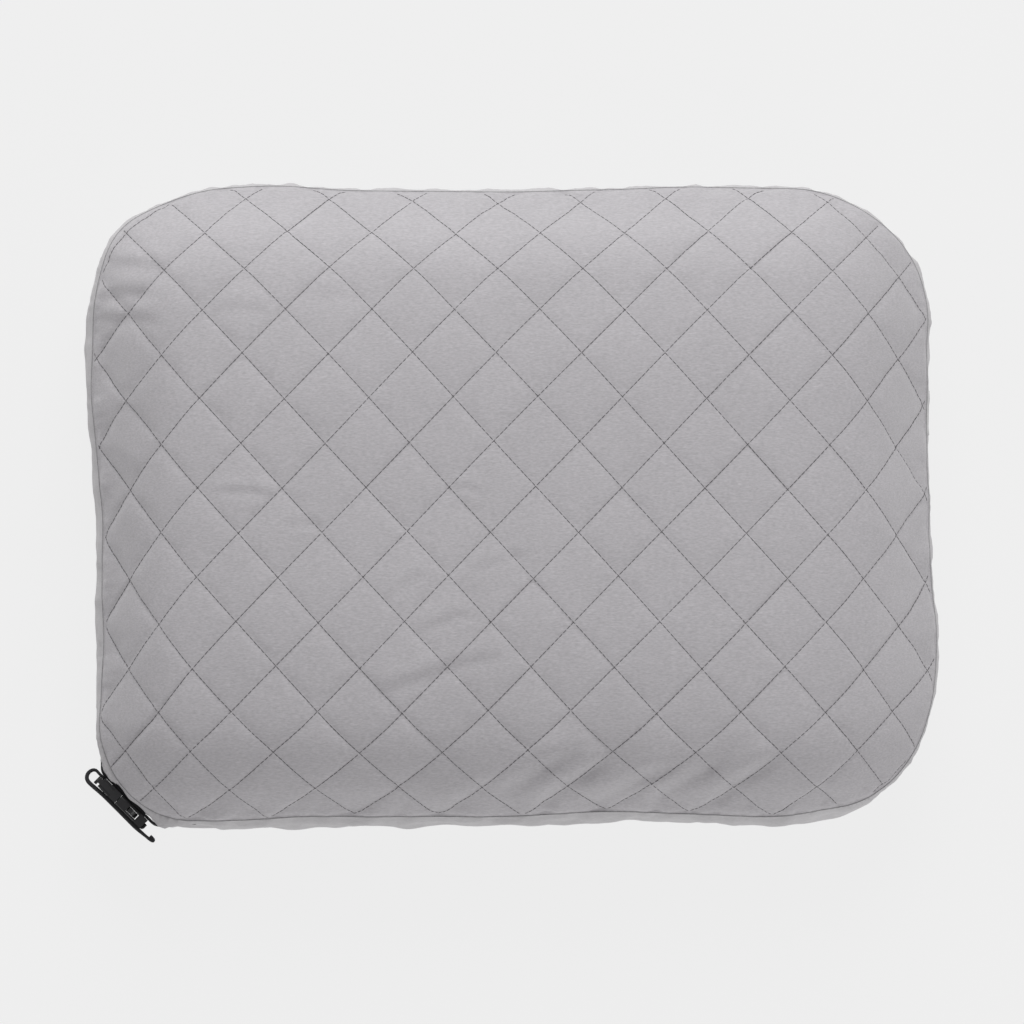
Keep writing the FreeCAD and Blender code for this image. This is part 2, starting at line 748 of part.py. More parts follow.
class Route:
    """The section of a web, drawn as its two faces: straight runs and tangent turns.

    The path follows one face, in the strap's frame. The web lies on the left of the path
    when side is 1 and on its right when side is -1."""

    def __init__(self, x, y, heading, side):
        self.at = Vector(x, y, 0)
        self.heading = math.radians(heading)
        self.side = side
        self.pieces = [Part.LineSegment(self.other(self.at), self.at)]

    def way(self, turn=0.0):
        angle = self.heading + turn
        return Vector(math.cos(angle), math.sin(angle), 0)

    def other(self, point):
        """The point across the web's thickness."""
        return point + self.way(self.side * math.pi / 2) * size("web_thick")

    def run(self, length):
        end = self.at + self.way() * length
        self.pieces.append(Part.LineSegment(self.at, end))
        self.pieces.append(Part.LineSegment(self.other(self.at), self.other(end)))
        self.at = end
        return self

    def turn(self, radius, degrees):
        """Positive degrees turn left. The radius is that of the face the path follows."""
        centre = self.at + self.way(math.copysign(math.pi / 2, degrees)) * radius
        half, whole = Rotation(Z_AXIS, degrees / 2), Rotation(Z_AXIS, degrees)
        for start in (self.at, self.other(self.at)):
            spoke = start - centre
            middle, end = centre + half.multVec(spoke), centre + whole.multVec(spoke)
            self.pieces.append(Part.Arc(start, middle, end))
        self.at = centre + whole.multVec(self.at - centre)
        self.heading += math.radians(degrees)
        return self

    def outline(self):
        return self.pieces + [Part.LineSegment(self.at, self.other(self.at))]


def turn_start(radius):
    """How far along the corner flat a web starts to turn onto the pillow's side wall."""
    corner = (math.sqrt(2) - 1) * size("strap_corner_radius") + size("strap_flat_cut")
    return corner + (size("wall_gap") - radius) * math.tan(math.radians(22.5))


def webbing(node, route):
    """A web of the route's section, as wide as web_width."""
    body = doc.addObject("PartDesign::Body", node + "_body")
    section = sketch_on(body, "XY_Plane", node + "_section")
    for piece in route.outline():
        section.addGeometry(piece)
    pad(body, section, node + "_pad", midplane=True, Length="web_width")
    body.Placement = strap_frame()
    return keep(node, body)


WALL_RUN = 16  # length of web sewn flat to the side wall
FREE_TURN = 16  # wall-side radius of the adjustable web at the corner
FIXED_TURN = 10.4  # the same for the fixed web
BEND = 1.5  # outer radius of a web that wraps a bar
CREASE = 0.3  # its inner radius
HEM = 5  # length of webbing folded back on itself at the free end
SLEEVE = 0.1  # a web's clearance from the buckle
BACKING_ENDS = (-4.9, 16.1)  # where the web behind the buckle starts and ends
REAR_GAP = 0.8  # the fixed web's clearance in front of the rear bar
UNDER_LIP = 0.25  # how far the tail runs under the face of the plug's frame


def web_levels():
    """Distances out from the wall of the load ply, the bar wrap and the outer ply."""
    gap, thick = size("wall_gap"), size("web_thick")
    wrap = size("frame_stand") + size("frame_thick") + 2 * SLEEVE + thick
    outer = size("buckle_stand") + size("buckle_thick") + 2 * SLEEVE
    return gap, gap + thick, wrap, outer


def strap_webs():
    """Adjustable web (sewn part and free tail) and the fixed web on the socket."""
    gap, load_out, wrap, outer = web_levels()
    middle_bar = -size("shoulder_depth") - size("inner_slot") - size("middle_bar") / 2

    load = Route(middle_bar, -wrap, 0, 1).run(1.8).turn(BEND, 90).run(wrap - gap - 2 * BEND)
    load.turn(BEND, 90).run(turn_start(FREE_TURN) + load.at.x).turn(FREE_TURN, -45).run(WALL_RUN)
    webbing("strap_load_web", load)

    under_lip = size("frame_stand") - UNDER_LIP
    to_eye, eye, flare, settle = 7.5, 3.0, 15, 6.0
    tail = Route(middle_bar, -wrap, 180, -1).run(1.7).turn(BEND, -90)
    tail.run(-tail.at.y - under_lip - CREASE).turn(CREASE, 90).run(to_eye).turn(eye, 180 + flare)
    lean = math.radians(flare)
    rise = -outer - tail.at.y - settle * (1 - math.cos(lean))
    tail.run(rise / math.sin(lean)).turn(settle, -flare)
    tail.run(size("tail_reach") - tail.at.x).turn(size("web_thick") + CREASE / 2, -180).run(HEM)
    webbing("strap_tail_web", tail)

    start = turn_start(FIXED_TURN)
    round_bar = size("rear_bar_thick") + size("frame_stand") + 2 * SLEEVE + size("web_thick")
    return_out = load_out + 2 * SLEEVE + size("web_thick")
    turn_back, sewn_turn = FIXED_TURN + return_out - gap, 35
    angle = math.radians(sewn_turn)
    bar_end = size("socket_end") + 2 * SLEEVE + size("web_thick")
    bar_front = size("socket_end") - size("rear_bar_depth") - REAR_GAP - size("web_thick")
    sewn_x = start + turn_back * math.sin(angle)
    sewn_y = FIXED_TURN - gap - turn_back * math.cos(angle)
    fixed = Route(sewn_x, sewn_y, 180 + sewn_turn, -1)
    fixed.turn(turn_back, -sewn_turn).run(fixed.at.x - bar_end - CREASE).turn(CREASE, 90)
    fixed.run(round_bar + fixed.at.y - BEND).turn(BEND, -90).run(fixed.at.x - bar_front - BEND)
    fixed.turn(BEND, -90).run(round_bar - gap - 2 * BEND).turn(BEND, -90)
    fixed.run(start - fixed.at.x).turn(FIXED_TURN, 45).run(WALL_RUN)
    webbing("strap_fixed_web", fixed)
    return load, fixed


def backing_web():
    """A short web sewn flat between the two straps' turns, so the buckle clears the cloth."""
    start, end = BACKING_ENDS
    webbing("strap_backing_web", Route(start, -size("wall_gap"), 0, -1).run(end - start))


def strap_bartacks(load, fixed):
    """Two dense thread bars across each end where the webs are sewn to the wall."""
    thick, web_thick = size("bartack_thick"), size("web_thick")
    wide, tall = 1.6, 11
    bars = []
    for name, route, side in (("load", load, 1), ("fixed", fixed, -1)):
        for k, back in enumerate((3.0, 11.0)):
            turn = Rotation(Z_AXIS, math.degrees(route.heading))
            spot = route.at - route.way() * back
            level = web_thick if side > 0 else -web_thick - thick
            low = spot + turn.multVec(Vector(-wide / 2, level, 0))
            base = strap_frame(low.x, low.y, -tall / 2)
            place = Placement(base.Base, base.Rotation.multiply(turn))
            bar = block("bartack_%s_%d" % (name, k), place, Width="bartack_thick")
            bar.Length, bar.Height = wide, tall
            bars.append(bar)
    keep("strap_bartacks", group("bartacks", bars))


# ---------------------------------------------------------------- build and export


def build():
    soft_layers()
    care_label()
    zipper_tapes()
    zipper_chain()
    zipper_stops()
    zipper_slider()
    zipper_pull()
    buckle_socket()
    buckle_plug()
    buckle_prong("buckle_prong_upper", 1)
    buckle_prong("buckle_prong_lower", -1)
    load, fixed = strap_webs()
    backing_web()
    strap_bartacks(load, fixed)
    doc.recompute()


def check():
    for thing in doc.Objects:
        if {"Invalid", "Error"} & set(thing.State):
            raise RuntimeError("%s did not build: %s" % (thing.Name, thing.State))
    for node, thing in kept:
        if thing.Shape.isNull() or not thing.Shape.isValid() or not thing.Shape.Solids:
            raise RuntimeError("%s has no valid solid" % node)
        if any(s.Volume <= 0 for s in thing.Shape.Solids):
            raise RuntimeError("%s has a solid that is inside out" % node)


def export():
    os.makedirs(OUT, exist_ok=True)
    for node, thing in kept:
        thing.Shape.exportStep(os.path.join(OUT, node + ".step"))
        box = thing.Shape.BoundBox
        spans = (box.XMin, box.XMax, box.YMin, box.YMax, box.ZMin, box.ZMax)
        print("%-22s %2d solid %10.1f mm3  x %.1f..%.1f  y %.1f..%.1f  z %.1f..%.1f"
              % ((node, len(thing.Shape.Solids), thing.Shape.Volume) + spans))
    axis = zip_frame(size("slider_home"), 0, size("bridge_height")).Base
    x, z = prong_hinge()
    hinge = strap_frame(x, -size("latch_stand") - size("latch_thick") / 2, z).Base
    print("zip pull axis", axis, "prong root", hinge, "strap origin", strap_origin())


build()
check()
export()
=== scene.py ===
"""Looks of the camp pillow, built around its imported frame. Metres, in the frame's own axes."""

import json
import math

import bpy
import numpy as np
from mathutils import Matrix, Vector

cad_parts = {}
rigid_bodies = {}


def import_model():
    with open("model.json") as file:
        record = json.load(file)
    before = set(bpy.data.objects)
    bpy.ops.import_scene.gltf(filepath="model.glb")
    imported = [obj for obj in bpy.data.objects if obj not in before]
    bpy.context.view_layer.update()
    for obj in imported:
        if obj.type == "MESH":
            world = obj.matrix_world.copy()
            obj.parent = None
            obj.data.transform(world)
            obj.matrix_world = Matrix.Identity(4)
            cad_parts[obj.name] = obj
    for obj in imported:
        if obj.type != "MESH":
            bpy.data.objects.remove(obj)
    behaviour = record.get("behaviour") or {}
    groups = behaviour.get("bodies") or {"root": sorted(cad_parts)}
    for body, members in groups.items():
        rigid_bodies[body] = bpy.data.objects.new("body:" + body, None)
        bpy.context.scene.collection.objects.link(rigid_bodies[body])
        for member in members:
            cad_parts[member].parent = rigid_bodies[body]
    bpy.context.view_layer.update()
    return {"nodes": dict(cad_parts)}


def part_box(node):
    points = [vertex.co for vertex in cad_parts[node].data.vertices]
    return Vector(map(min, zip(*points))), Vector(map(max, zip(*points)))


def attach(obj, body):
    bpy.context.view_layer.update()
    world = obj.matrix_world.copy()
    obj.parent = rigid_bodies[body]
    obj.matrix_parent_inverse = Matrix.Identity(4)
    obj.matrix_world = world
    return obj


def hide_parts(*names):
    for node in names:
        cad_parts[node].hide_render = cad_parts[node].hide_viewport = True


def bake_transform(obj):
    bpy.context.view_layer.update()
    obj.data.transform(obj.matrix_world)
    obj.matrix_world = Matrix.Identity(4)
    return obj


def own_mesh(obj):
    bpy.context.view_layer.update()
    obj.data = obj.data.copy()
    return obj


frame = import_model()

MM = 0.001
rng = np.random.default_rng(7)

# ---------------- sizes, from the frame

FACE_LOW, FACE_HIGH = (np.array(v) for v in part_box("cover_top_face"))
HALF = np.array([FACE_HIGH[0], FACE_HIGH[1]])  # half length and half width
SEAM_Z = FACE_LOW[2]
TOP_Z = FACE_HIGH[2]

# The form's radii and reaches, which the boxes don't give.
CORNER = 75 * MM
STRAP_CORNER = 56 * MM
ROLL = 52 * MM  # plan reach of the quilted face's rolled edge, from the outline
SEAM_TURN = math.radians(45)  # how far the face has turned down where it meets the seam
BOTTOM_ROLL = 42 * MM
STRAP_AT = np.array([-211.194, -155.194]) * MM  # the middle of the strap's flat, on the cover
STRAP_FLAT = 3.4 * MM  # how far the strap's corner is pressed in
STRAP_LEVEL = float(np.mean([v[2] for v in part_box("buckle_socket")]))
CROWN = 34 * MM  # how much the face rises from the start of its rolled edge to its middle
CROWN_REACH = 130 * MM
CROWN_POWER = 2.2
SEAM_IN = 1.7 * MM  # the seam runs inside the pillow's widest outline, at its two ends
SEAM_FRONT = 1.6 * MM  # and this much more at the front, and less at the back
SEAM_RIGHT = 3.4 * MM  # and this much less at the right
SEAM_LEAST = 0.1 * MM  # and never less than this
SEAM_PULL = 1.7 * MM  # depth of the groove that the perimeter seam makes
SEAM_REACH = 3.6 * MM

# Quilting: diamonds as wide and as tall as this, in the flat cloth, a little off square.
DIAMOND = np.array([45.7, 48.4]) * MM
QUILT_ORIGIN = np.array([10.0, 7.5]) * MM  # a crossing near the middle
QUILT_SHEAR = 0.025
QUILT_PUFF = 1.5 * MM

# Where the outline swells or falls in: plan place, amount and reach, in mm.
BULGES = (
    ((-230, 95), 1.4, 60),
    ((-230, -75), -4.2, 75),
    ((-212, 146), 4.6, 20),
    ((-230, -5), -1.8, 30),
    ((-230, 63), 1.3, 20),
    ((-135, 174), 2.2, 32),
    ((120, 174), 2.8, 62),
    ((230, 40), -1.5, 42),
    ((231, -76), 3.9, 32),
    ((205, -142), -1.0, 26),
    ((170, -172), -2.6, 17),
    ((62, -174), -2.9, 52),
    ((-172, -174), 2.6, 42),
)
# The strap's sewn ends raise two lips in the lower panel, just over the strap: the same.
LIPS = (((-221, -147), 6.0, 11), ((-194, -172), 5.0, 16))


def radii(points):
    """The corner radius that governs each plan point: its own quadrant's."""
    strap = (points[..., 0] < 0) & (points[..., 1] < 0)
    return np.where(strap, STRAP_CORNER, CORNER)


def from_core(points, inset):
    """Outward distance from the outline drawn inset, and the outward direction there."""
    sign = np.where(points < 0, -1.0, 1.0)
    radius = radii(points) - inset
    past = np.abs(points) - (HALF - inset - radius[..., None])
    both = (past > 0).all(-1)
    span = np.linalg.norm(past, axis=-1)
    wide = past[..., 0] > past[..., 1]
    along = np.stack([wide, ~wide], -1).astype(float)
    normal = np.where(both[..., None], past / np.maximum(span, 1e-9)[..., None], along)
    distance = np.where(both, span, past.max(-1)) - radius
    return distance, normal * sign


def smooth(x):
    """A soft step from 0 to 1."""
    x = np.clip(x, 0, 1)
    return x * x * (3 - 2 * x)


def unit(vectors):
    return vectors / np.maximum(np.linalg.norm(vectors, axis=-1), 1e-12)[..., None]


def waves(points, length, seed, octaves=2):
    """Smooth noise from -1 to 1 over 2-D or 3-D points: a sum of sines at odd directions."""
    made = np.zeros(points.shape[:-1])
    source = np.random.default_rng(seed)
    weight = 0.0
    for octave in range(octaves):
        for _ in range(5):
            way = unit(source.normal(size=points.shape[-1]))
            pitch = length / (2**octave) * source.uniform(0.75, 1.35)
            turn = source.uniform(0, 2 * np.pi)
            share = 0.55**octave
            made += share * np.sin(points @ way * (2 * np.pi / pitch) + turn)
            weight += share * share / 2
    return made / np.sqrt(weight) / 1.6


# ---------------- the form, from flat cloth

STRAP_OUT = np.array([-1.0, -1.0]) / np.sqrt(2)
STRAP_LIMIT = float((HALF - STRAP_CORNER).sum() / np.sqrt(2) + STRAP_CORNER - STRAP_FLAT)


def from_segment(plan, start, end):
    """Distance from plan points to a straight segment whose ends are in mm."""
    start, end = np.array(start) * MM, np.array(end) * MM
    way = end - start
    share = np.clip((plan - start) @ way / (way @ way), 0, 1)
    return np.linalg.norm(plan - start - share[..., None] * way, axis=-1)


# Where the strap's two ends are sewn down, how deep they press, and which way, in mm.
SEWN_ENDS = (
    ((-227, -139), (-227, -121), 4.0, (1, 0)),
    ((-190, -176), (-169, -176), 2.4, (0, 1)),
)
SEWN_HALF = 8 * MM  # a groove is this much to each side of the web's middle, at its full depth
SEWN_WIDE = 4 * MM
LIP_RISE = 11 * MM  # the lips lie this much over the strap's middle
LIP_HEIGHT = 5 * MM


def press_sewn_ends(form):
    """The sewn ends of the strap lie in shallow grooves under the swell of the cover."""
    level = np.abs(form[..., 2] - STRAP_LEVEL)
    beside = 1 - smooth((level - SEWN_HALF) / SEWN_WIDE)
    for start, end, press, way in SEWN_ENDS:
        off = from_segment(form[..., :2], start, end)
        depth = press * MM * beside * (1 - smooth((off - SEWN_WIDE) / (2 * SEWN_WIDE)))
        form[..., :2] += depth[..., None] * np.array(way)
    return form


def press_strap_corner(form):
    """The strap holds the corner flat at its own level, fading above and below."""
    held, fading, soft = 22 * MM, 34 * MM, 0.5 * MM
    beyond = form[..., :2] @ STRAP_OUT - STRAP_LIMIT
    level = np.abs(form[..., 2] - STRAP_LEVEL)
    hold = 1 - smooth((level - held) / fading)
    pressed = soft * np.log1p(np.exp(np.clip(beyond / soft, -30, 30)))
    form[..., :2] -= (pressed * hold)[..., None] * STRAP_OUT
    return form


def seam_groove(from_seam):
    """How far the cloth is drawn in at a distance from the perimeter seam."""
    return SEAM_PULL * np.exp(-((from_seam / SEAM_REACH) ** 2))


def seam_inset(normal):
    """How far inside the widest outline the seam runs, by the direction that it faces."""
    inset = SEAM_IN - SEAM_FRONT * normal[..., 1] - SEAM_RIGHT * np.maximum(normal[..., 0], 0)
    return np.maximum(inset, SEAM_LEAST)


def swells(plan, bumps):
    """Round swells and hollows at plan points, in metres."""
    push = np.zeros(plan.shape[:-1])
    for place, amount, reach in bumps:
        off = np.linalg.norm(plan - np.array(place) * MM, axis=-1)
        push += amount * MM * np.exp(-((off / (reach * MM)) ** 2))
    return push


def raise_lips(form, normal, from_seam):
    """Puts the folds of the cover that hang over the strap's sewn ends."""
    level = np.exp(-(((form[..., 2] - STRAP_LEVEL - LIP_RISE) / LIP_HEIGHT) ** 2))
    push = swells(form[..., :2], LIPS) * level * smooth(from_seam / (4 * MM))
    form[..., :2] += normal * push[..., None]
    return form


def sway(form, normal):
    """The outline's swells and hollows, and the seam's slow rise and fall."""
    plan, height = form[..., :2], form[..., 2]
    push = swells(plan, BULGES) + 0.45 * MM * waves(form, 55 * MM, 21)
    inside = -from_core(plan, 0)[0]
    hold = smooth(1 - inside / (75 * MM)) * smooth(height / BOTTOM_ROLL)
    near_zip = smooth((plan[..., 1] - 150 * MM) / (12 * MM)) * (1 - smooth((height - 38 * MM) / (16 * MM)))
    hold = hold * (1 - near_zip)
    form[..., :2] = plan + normal * (push * hold)[..., None]
    band = np.exp(-(((height - SEAM_Z) / (32 * MM)) ** 2)) * (1 - near_zip)
    form[..., 2] = height + 1.3 * MM * waves(form[..., :2], 130 * MM, 22) * band
    return form


ROLL_PLAN = (ROLL - SEAM_IN) / math.sin(SEAM_TURN)
ROLL_RISE = (TOP_Z - CROWN - SEAM_Z) / (1 - math.cos(SEAM_TURN))
ROLL_ARC = math.sqrt((ROLL_PLAN**2 + ROLL_RISE**2) / 2)
TOP_EDGE = ROLL_ARC * SEAM_TURN  # length of cloth from the roll's start to the seam
UNROLLED = HALF - ROLL + TOP_EDGE


def crown_share(distance):
    """How much of the crown's height is reached at a distance of cloth from the seam."""
    return 1 - np.clip(1 - distance / CROWN_REACH, 0, 1) ** CROWN_POWER


def draw_in(cloth, reach):
    """Cloth positions along one axis, closer together where the crown slopes."""
    plan = np.linspace(0, reach, 400)
    away = np.clip(1 - (reach - plan) / CROWN_REACH, 0, 1)
    slope = CROWN * CROWN_POWER / CROWN_REACH * away ** (CROWN_POWER - 1)
    length = np.concatenate([[0], np.cumsum(np.sqrt(1 + slope[1:] ** 2) * np.diff(plan))])
    beyond = np.maximum(np.abs(cloth) - length[-1], 0)
    return np.sign(cloth) * (np.interp(np.abs(cloth), length, plan) + beyond)


def unroll(cloth):
    """From the quilted face's cut cloth to the plan of its unrolled form."""
    x = draw_in(cloth[..., 0] + QUILT_SHEAR * cloth[..., 1], UNROLLED[0])
    return np.stack([x, draw_in(cloth[..., 1], UNROLLED[1])], -1)


def top_form(flat):
    """Where the quilted face's cloth lies: a crowned plateau, rolled down at its edge."""
    out, normal = from_core(flat, ROLL)
    turn = np.clip(out / ROLL_ARC, 0, SEAM_TURN)
    plan = flat + normal * (ROLL_PLAN * np.sin(turn) - np.maximum(out, 0))[..., None]
    crown = CROWN * crown_share(UNROLLED - np.abs(flat)).prod(-1)
    edge = SEAM_Z + ROLL_RISE * (np.cos(turn) - math.cos(SEAM_TURN))
    height = edge + crown * (1 - (turn / SEAM_TURN) ** 4)
    from_seam = np.maximum(TOP_EDGE - out, 0)
    inset = (seam_inset(normal) - SEAM_IN) * smooth(1 - from_seam / (30 * MM))
    plan = plan - normal * (seam_groove(from_seam) + inset)[..., None]
    form = np.concatenate([plan, height[..., None]], -1)
    return press_strap_corner(sway(form, normal))


WALL = SEAM_Z - BOTTOM_ROLL
LOW_ARC = BOTTOM_ROLL * math.pi / 2
LOW_EDGE = LOW_ARC + WALL

ZIP_TILT = math.radians(25)
ZIP_OUT = np.array([0, math.cos(ZIP_TILT), -math.sin(ZIP_TILT)])
ZIP_FACET = 24 * MM
ZIP_LIMIT = math.sqrt(BOTTOM_ROLL**2 - (ZIP_FACET / 2) ** 2)
ZIP_ARC_CENTRE = np.array([0, HALF[1] - BOTTOM_ROLL, BOTTOM_ROLL])


def flatten_zip_wall(form):
    """The lower back wall is flat where the zipper is sewn in."""
    beyond = (form - ZIP_ARC_CENTRE) @ ZIP_OUT - ZIP_LIMIT
    back = form[..., 1] > 0
    form -= (np.maximum(beyond, 0) * back)[..., None] * ZIP_OUT
    return form


def low_form(flat):
    """Where the lower panel's cloth lies: flat underneath, rolled up into a short wall."""
    out, normal = from_core(flat, BOTTOM_ROLL)
    turn = np.clip(out / BOTTOM_ROLL, 0, math.pi / 2)
    up = np.clip(out - LOW_ARC, 0, WALL)
    plan = flat + normal * (BOTTOM_ROLL * np.sin(turn) - np.maximum(out, 0))[..., None]
    height = BOTTOM_ROLL * (1 - np.cos(turn)) + up
    drawn = seam_groove(np.maximum(LOW_EDGE - out, 0)) + seam_inset(normal) * (up / WALL) ** 2
    form = np.concatenate([plan - normal * drawn[..., None], height[..., None]], -1)
    form = raise_lips(sway(form, normal), normal, LOW_EDGE - out)
    form = press_sewn_ends(press_strap_corner(form))
    return flatten_zip_wall(form)


# ---------------- lattices of cloth


class Cloth:
    """A panel as a lattice of flat-cloth points, and the faces inside its outline."""

    def __init__(self, xs, ys, inset, edge, form, unroll=lambda cloth: cloth):
        self.xs, self.ys, self.form, self.edge = xs, ys, form, edge
        self.cut = np.stack(np.meshgrid(xs, ys, indexing="ij"), -1)
        grid = unroll(self.cut)
        out, normal = from_core(grid, inset)
        inside = out < edge - 0.25 * (xs[1] - xs[0])
        cells = inside[:-1, :-1] | inside[1:, :-1] | inside[1:, 1:] | inside[:-1, 1:]
        used = np.zeros(inside.shape, bool)
        for a, b in ((0, 0), (1, 0), (1, 1), (0, 1)):
            used[a : a + cells.shape[0], b : b + cells.shape[1]] |= cells
        shift = normal * np.where(used & ~inside, out - edge, 0)[..., None]
        grid, self.cut = grid - shift, self.cut - shift
        self.flat, self.used, self.cells, self.out = grid, used, cells, np.minimum(out, edge)
        self.index = np.full(used.shape, -1)
        self.index[used] = np.arange(used.sum())

    def faces(self, keep=None, turned=None):
        """The lattice's quads. Turned ones are split along their other diagonal."""
        i, j = np.nonzero(self.cells if keep is None else self.cells & keep)
        index = self.index
        quads = np.stack([index[i, j], index[i + 1, j], index[i + 1, j + 1], index[i, j + 1]], -1)
        if turned is not None:
            quads[turned[i, j]] = np.roll(quads[turned[i, j]], 1, axis=1)
        return quads

    def sample(self, values, flat):
        """Lattice values at any flat points, by bilinear interpolation."""
        fx = np.interp(flat[..., 0], self.xs, np.arange(len(self.xs)))
        fy = np.interp(flat[..., 1], self.ys, np.arange(len(self.ys)))
        i = np.minimum(fx.astype(int), len(self.xs) - 2)
        j = np.minimum(fy.astype(int), len(self.ys) - 2)
        a, b = (fx - i)[..., None], (fy - j)[..., None]
        low = values[i, j] * (1 - a) + values[i + 1, j] * a
        high = values[i, j + 1] * (1 - a) + values[i + 1, j + 1] * a
        return low * (1 - b) + high * b


def make_mesh(name, points, faces):
    """A smooth-shaded object in the scene."""
    mesh = bpy.data.meshes.new(name)
    mesh.from_pydata(points.tolist(), [], faces.tolist())
    mesh.update()
    piece = bpy.data.objects.new(name, mesh)
    bpy.context.scene.collection.objects.link(piece)
    mesh.polygons.foreach_set("use_smooth", np.ones(len(mesh.polygons), bool))
    return piece


SETTLE_FRAMES = 16
STIFFNESS = 12.0


def simulate(cloth, name, hold, pressure, swell):
    """Lets the panel's own cloth settle: it is cut from the flat lattice, its edge is sewn
    down, and it is blown out over the filling. Gives how far each lattice point moves."""
    start = cloth.form(cloth.flat)
    moved = np.zeros_like(start)
    used = cloth.used
    piece = make_mesh(name, start[used], cloth.faces())
    piece.shape_key_add(name="Basis")
    cut = piece.shape_key_add(name="cut")
    flat = np.concatenate([cloth.cut[used] * swell, np.zeros((used.sum(), 1))], -1)
    cut.data.foreach_set("co", flat.astype(np.float32).ravel())
    group = piece.vertex_groups.new(name="held")
    for k, weight in enumerate(hold[used].tolist()):
        group.add([k], weight, "REPLACE")
    modifier = piece.modifiers.new("settle", "CLOTH")
    s = modifier.settings
    s.rest_shape_key = cut
    s.vertex_group_mass = "held"
    s.pin_stiffness = 1.0
    s.quality = 6
    s.mass = 0.15
    s.tension_stiffness = s.compression_stiffness = STIFFNESS
    s.shear_stiffness = STIFFNESS / 2
    s.bending_stiffness = 0.6
    s.air_damping = 2.0
    s.use_pressure = True
    s.uniform_pressure_force = pressure
    s.effector_weights.gravity = 0
    modifier.collision_settings.use_collision = False
    modifier.point_cache.frame_start, modifier.point_cache.frame_end = 1, SETTLE_FRAMES
    scene = bpy.context.scene
    for number in range(1, SETTLE_FRAMES + 1):
        scene.frame_set(number)
    done = piece.evaluated_get(bpy.context.evaluated_depsgraph_get())
    settled = np.zeros(len(done.data.vertices) * 3, np.float32)
    done.data.vertices.foreach_get("co", settled)
    moved[used] = settled.reshape(-1, 3) - start[used]
    bpy.data.objects.remove(piece)
    scene.frame_set(1)
    return moved


def refine(values, times):
    """Values on a lattice, taken to one that is times as fine along each of its two axes."""
    for axis in (0, 1):
        values = np.moveaxis(values, axis, 0)
        padded = np.concatenate([values[:1], values, values[-1:]])
        a, b, c, d = padded[:-3], padded[1:-2], padded[2:-1], padded[3:]
        rows = np.empty(((len(values) - 1) * times + 1,) + values.shape[1:])
        for k in range(times):
            x = k / times
            ramp = (2 * b, (c - a) * x, (2 * a - 5 * b + 4 * c - d) * x**2, (3 * b - a - 3 * c + d) * x**3)
            rows[k:-1:times] = sum(ramp) / 2
        rows[-1] = values[-1]
        values = np.moveaxis(rows, 0, axis)
    return values


def divide(marks, step):
    """Positions through all the marks, about a step apart."""
    made = [marks[0]]
    for a, b in zip(marks, marks[1:]):
        count = max(1, round((b - a) / step))
        made += [a + (b - a) * (k + 1) / count for k in range(count)]
    return np.array(made)


def between(xs, times):
    """The positions with times - 1 more in each gap."""
    steps = np.arange((len(xs) - 1) * times + 1) / times
    return np.interp(steps, np.arange(len(xs)), xs)


def lattice_normals(points):
    """Unit normals of a lattice of 3-D points, upwards on the quilted face."""
    return unit(np.cross(np.gradient(points, axis=0), np.gradient(points, axis=1)))


# ---------------- quilting

SPACING = 1 / math.hypot(1 / DIAMOND[0], 1 / DIAMOND[1])  # between neighbouring parallel lines
LINE_WAY = {1: unit(DIAMOND * [1, -1]), -1: unit(DIAMOND)}
CELLS = 64  # each diamond has a puff and a tilt of its own, from tables this wide
cell_puff = rng.uniform(0.7, 1.25, (CELLS, CELLS))
cell_tilt = rng.normal(0, 0.16 * MM, (2, CELLS, CELLS))


def wobble(line, along, family):
    """How far a quilting line strays from straight, in metres."""
    phase = np.sin(line * 12.9898 + family * 4.1) * 43.7
    drift = 0.45 * np.sin(along / 0.093 + phase) + 0.3 * np.sin(along / 0.031 + 2.3 * phase)
    return (drift + 0.35 * np.sin(phase * 7.7)) * MM


def off_line(flat, family):
    """Signed distance to the nearest quilting line of a family, and that line's number."""
    local = flat - QUILT_ORIGIN
    count = local[..., 0] / DIAMOND[0] + family * local[..., 1] / DIAMOND[1]
    line = np.round(count)
    along = local @ LINE_WAY[family]
    return (count - line) * SPACING - wobble(line, along, family), count


def quilt_relief(flat):
    """Height of the quilted cloth over its form: puffed diamonds between sewn lines."""
    valley, puckered = 4.2 * MM, 5 * MM
    first, a = off_line(flat, 1)
    second, b = off_line(flat, -1)
    first, second = np.abs(first), np.abs(second)
    open_cloth = (1 - np.exp(-first / valley)) * (1 - np.exp(-second / valley))
    i, j = np.floor(a).astype(int) % CELLS, np.floor(b).astype(int) % CELLS
    x, y = a - np.floor(a) - 0.5, b - np.floor(b) - 0.5
    tilt = 2 * (cell_tilt[0][i, j] * x + cell_tilt[1][i, j] * y)
    pucker = waves(flat, 9 * MM, 5) * 0.13 * MM * np.exp(-np.minimum(first, second) / puckered)
    return QUILT_PUFF * cell_puff[i, j] * (open_cloth - 1) + tilt * open_cloth + pucker


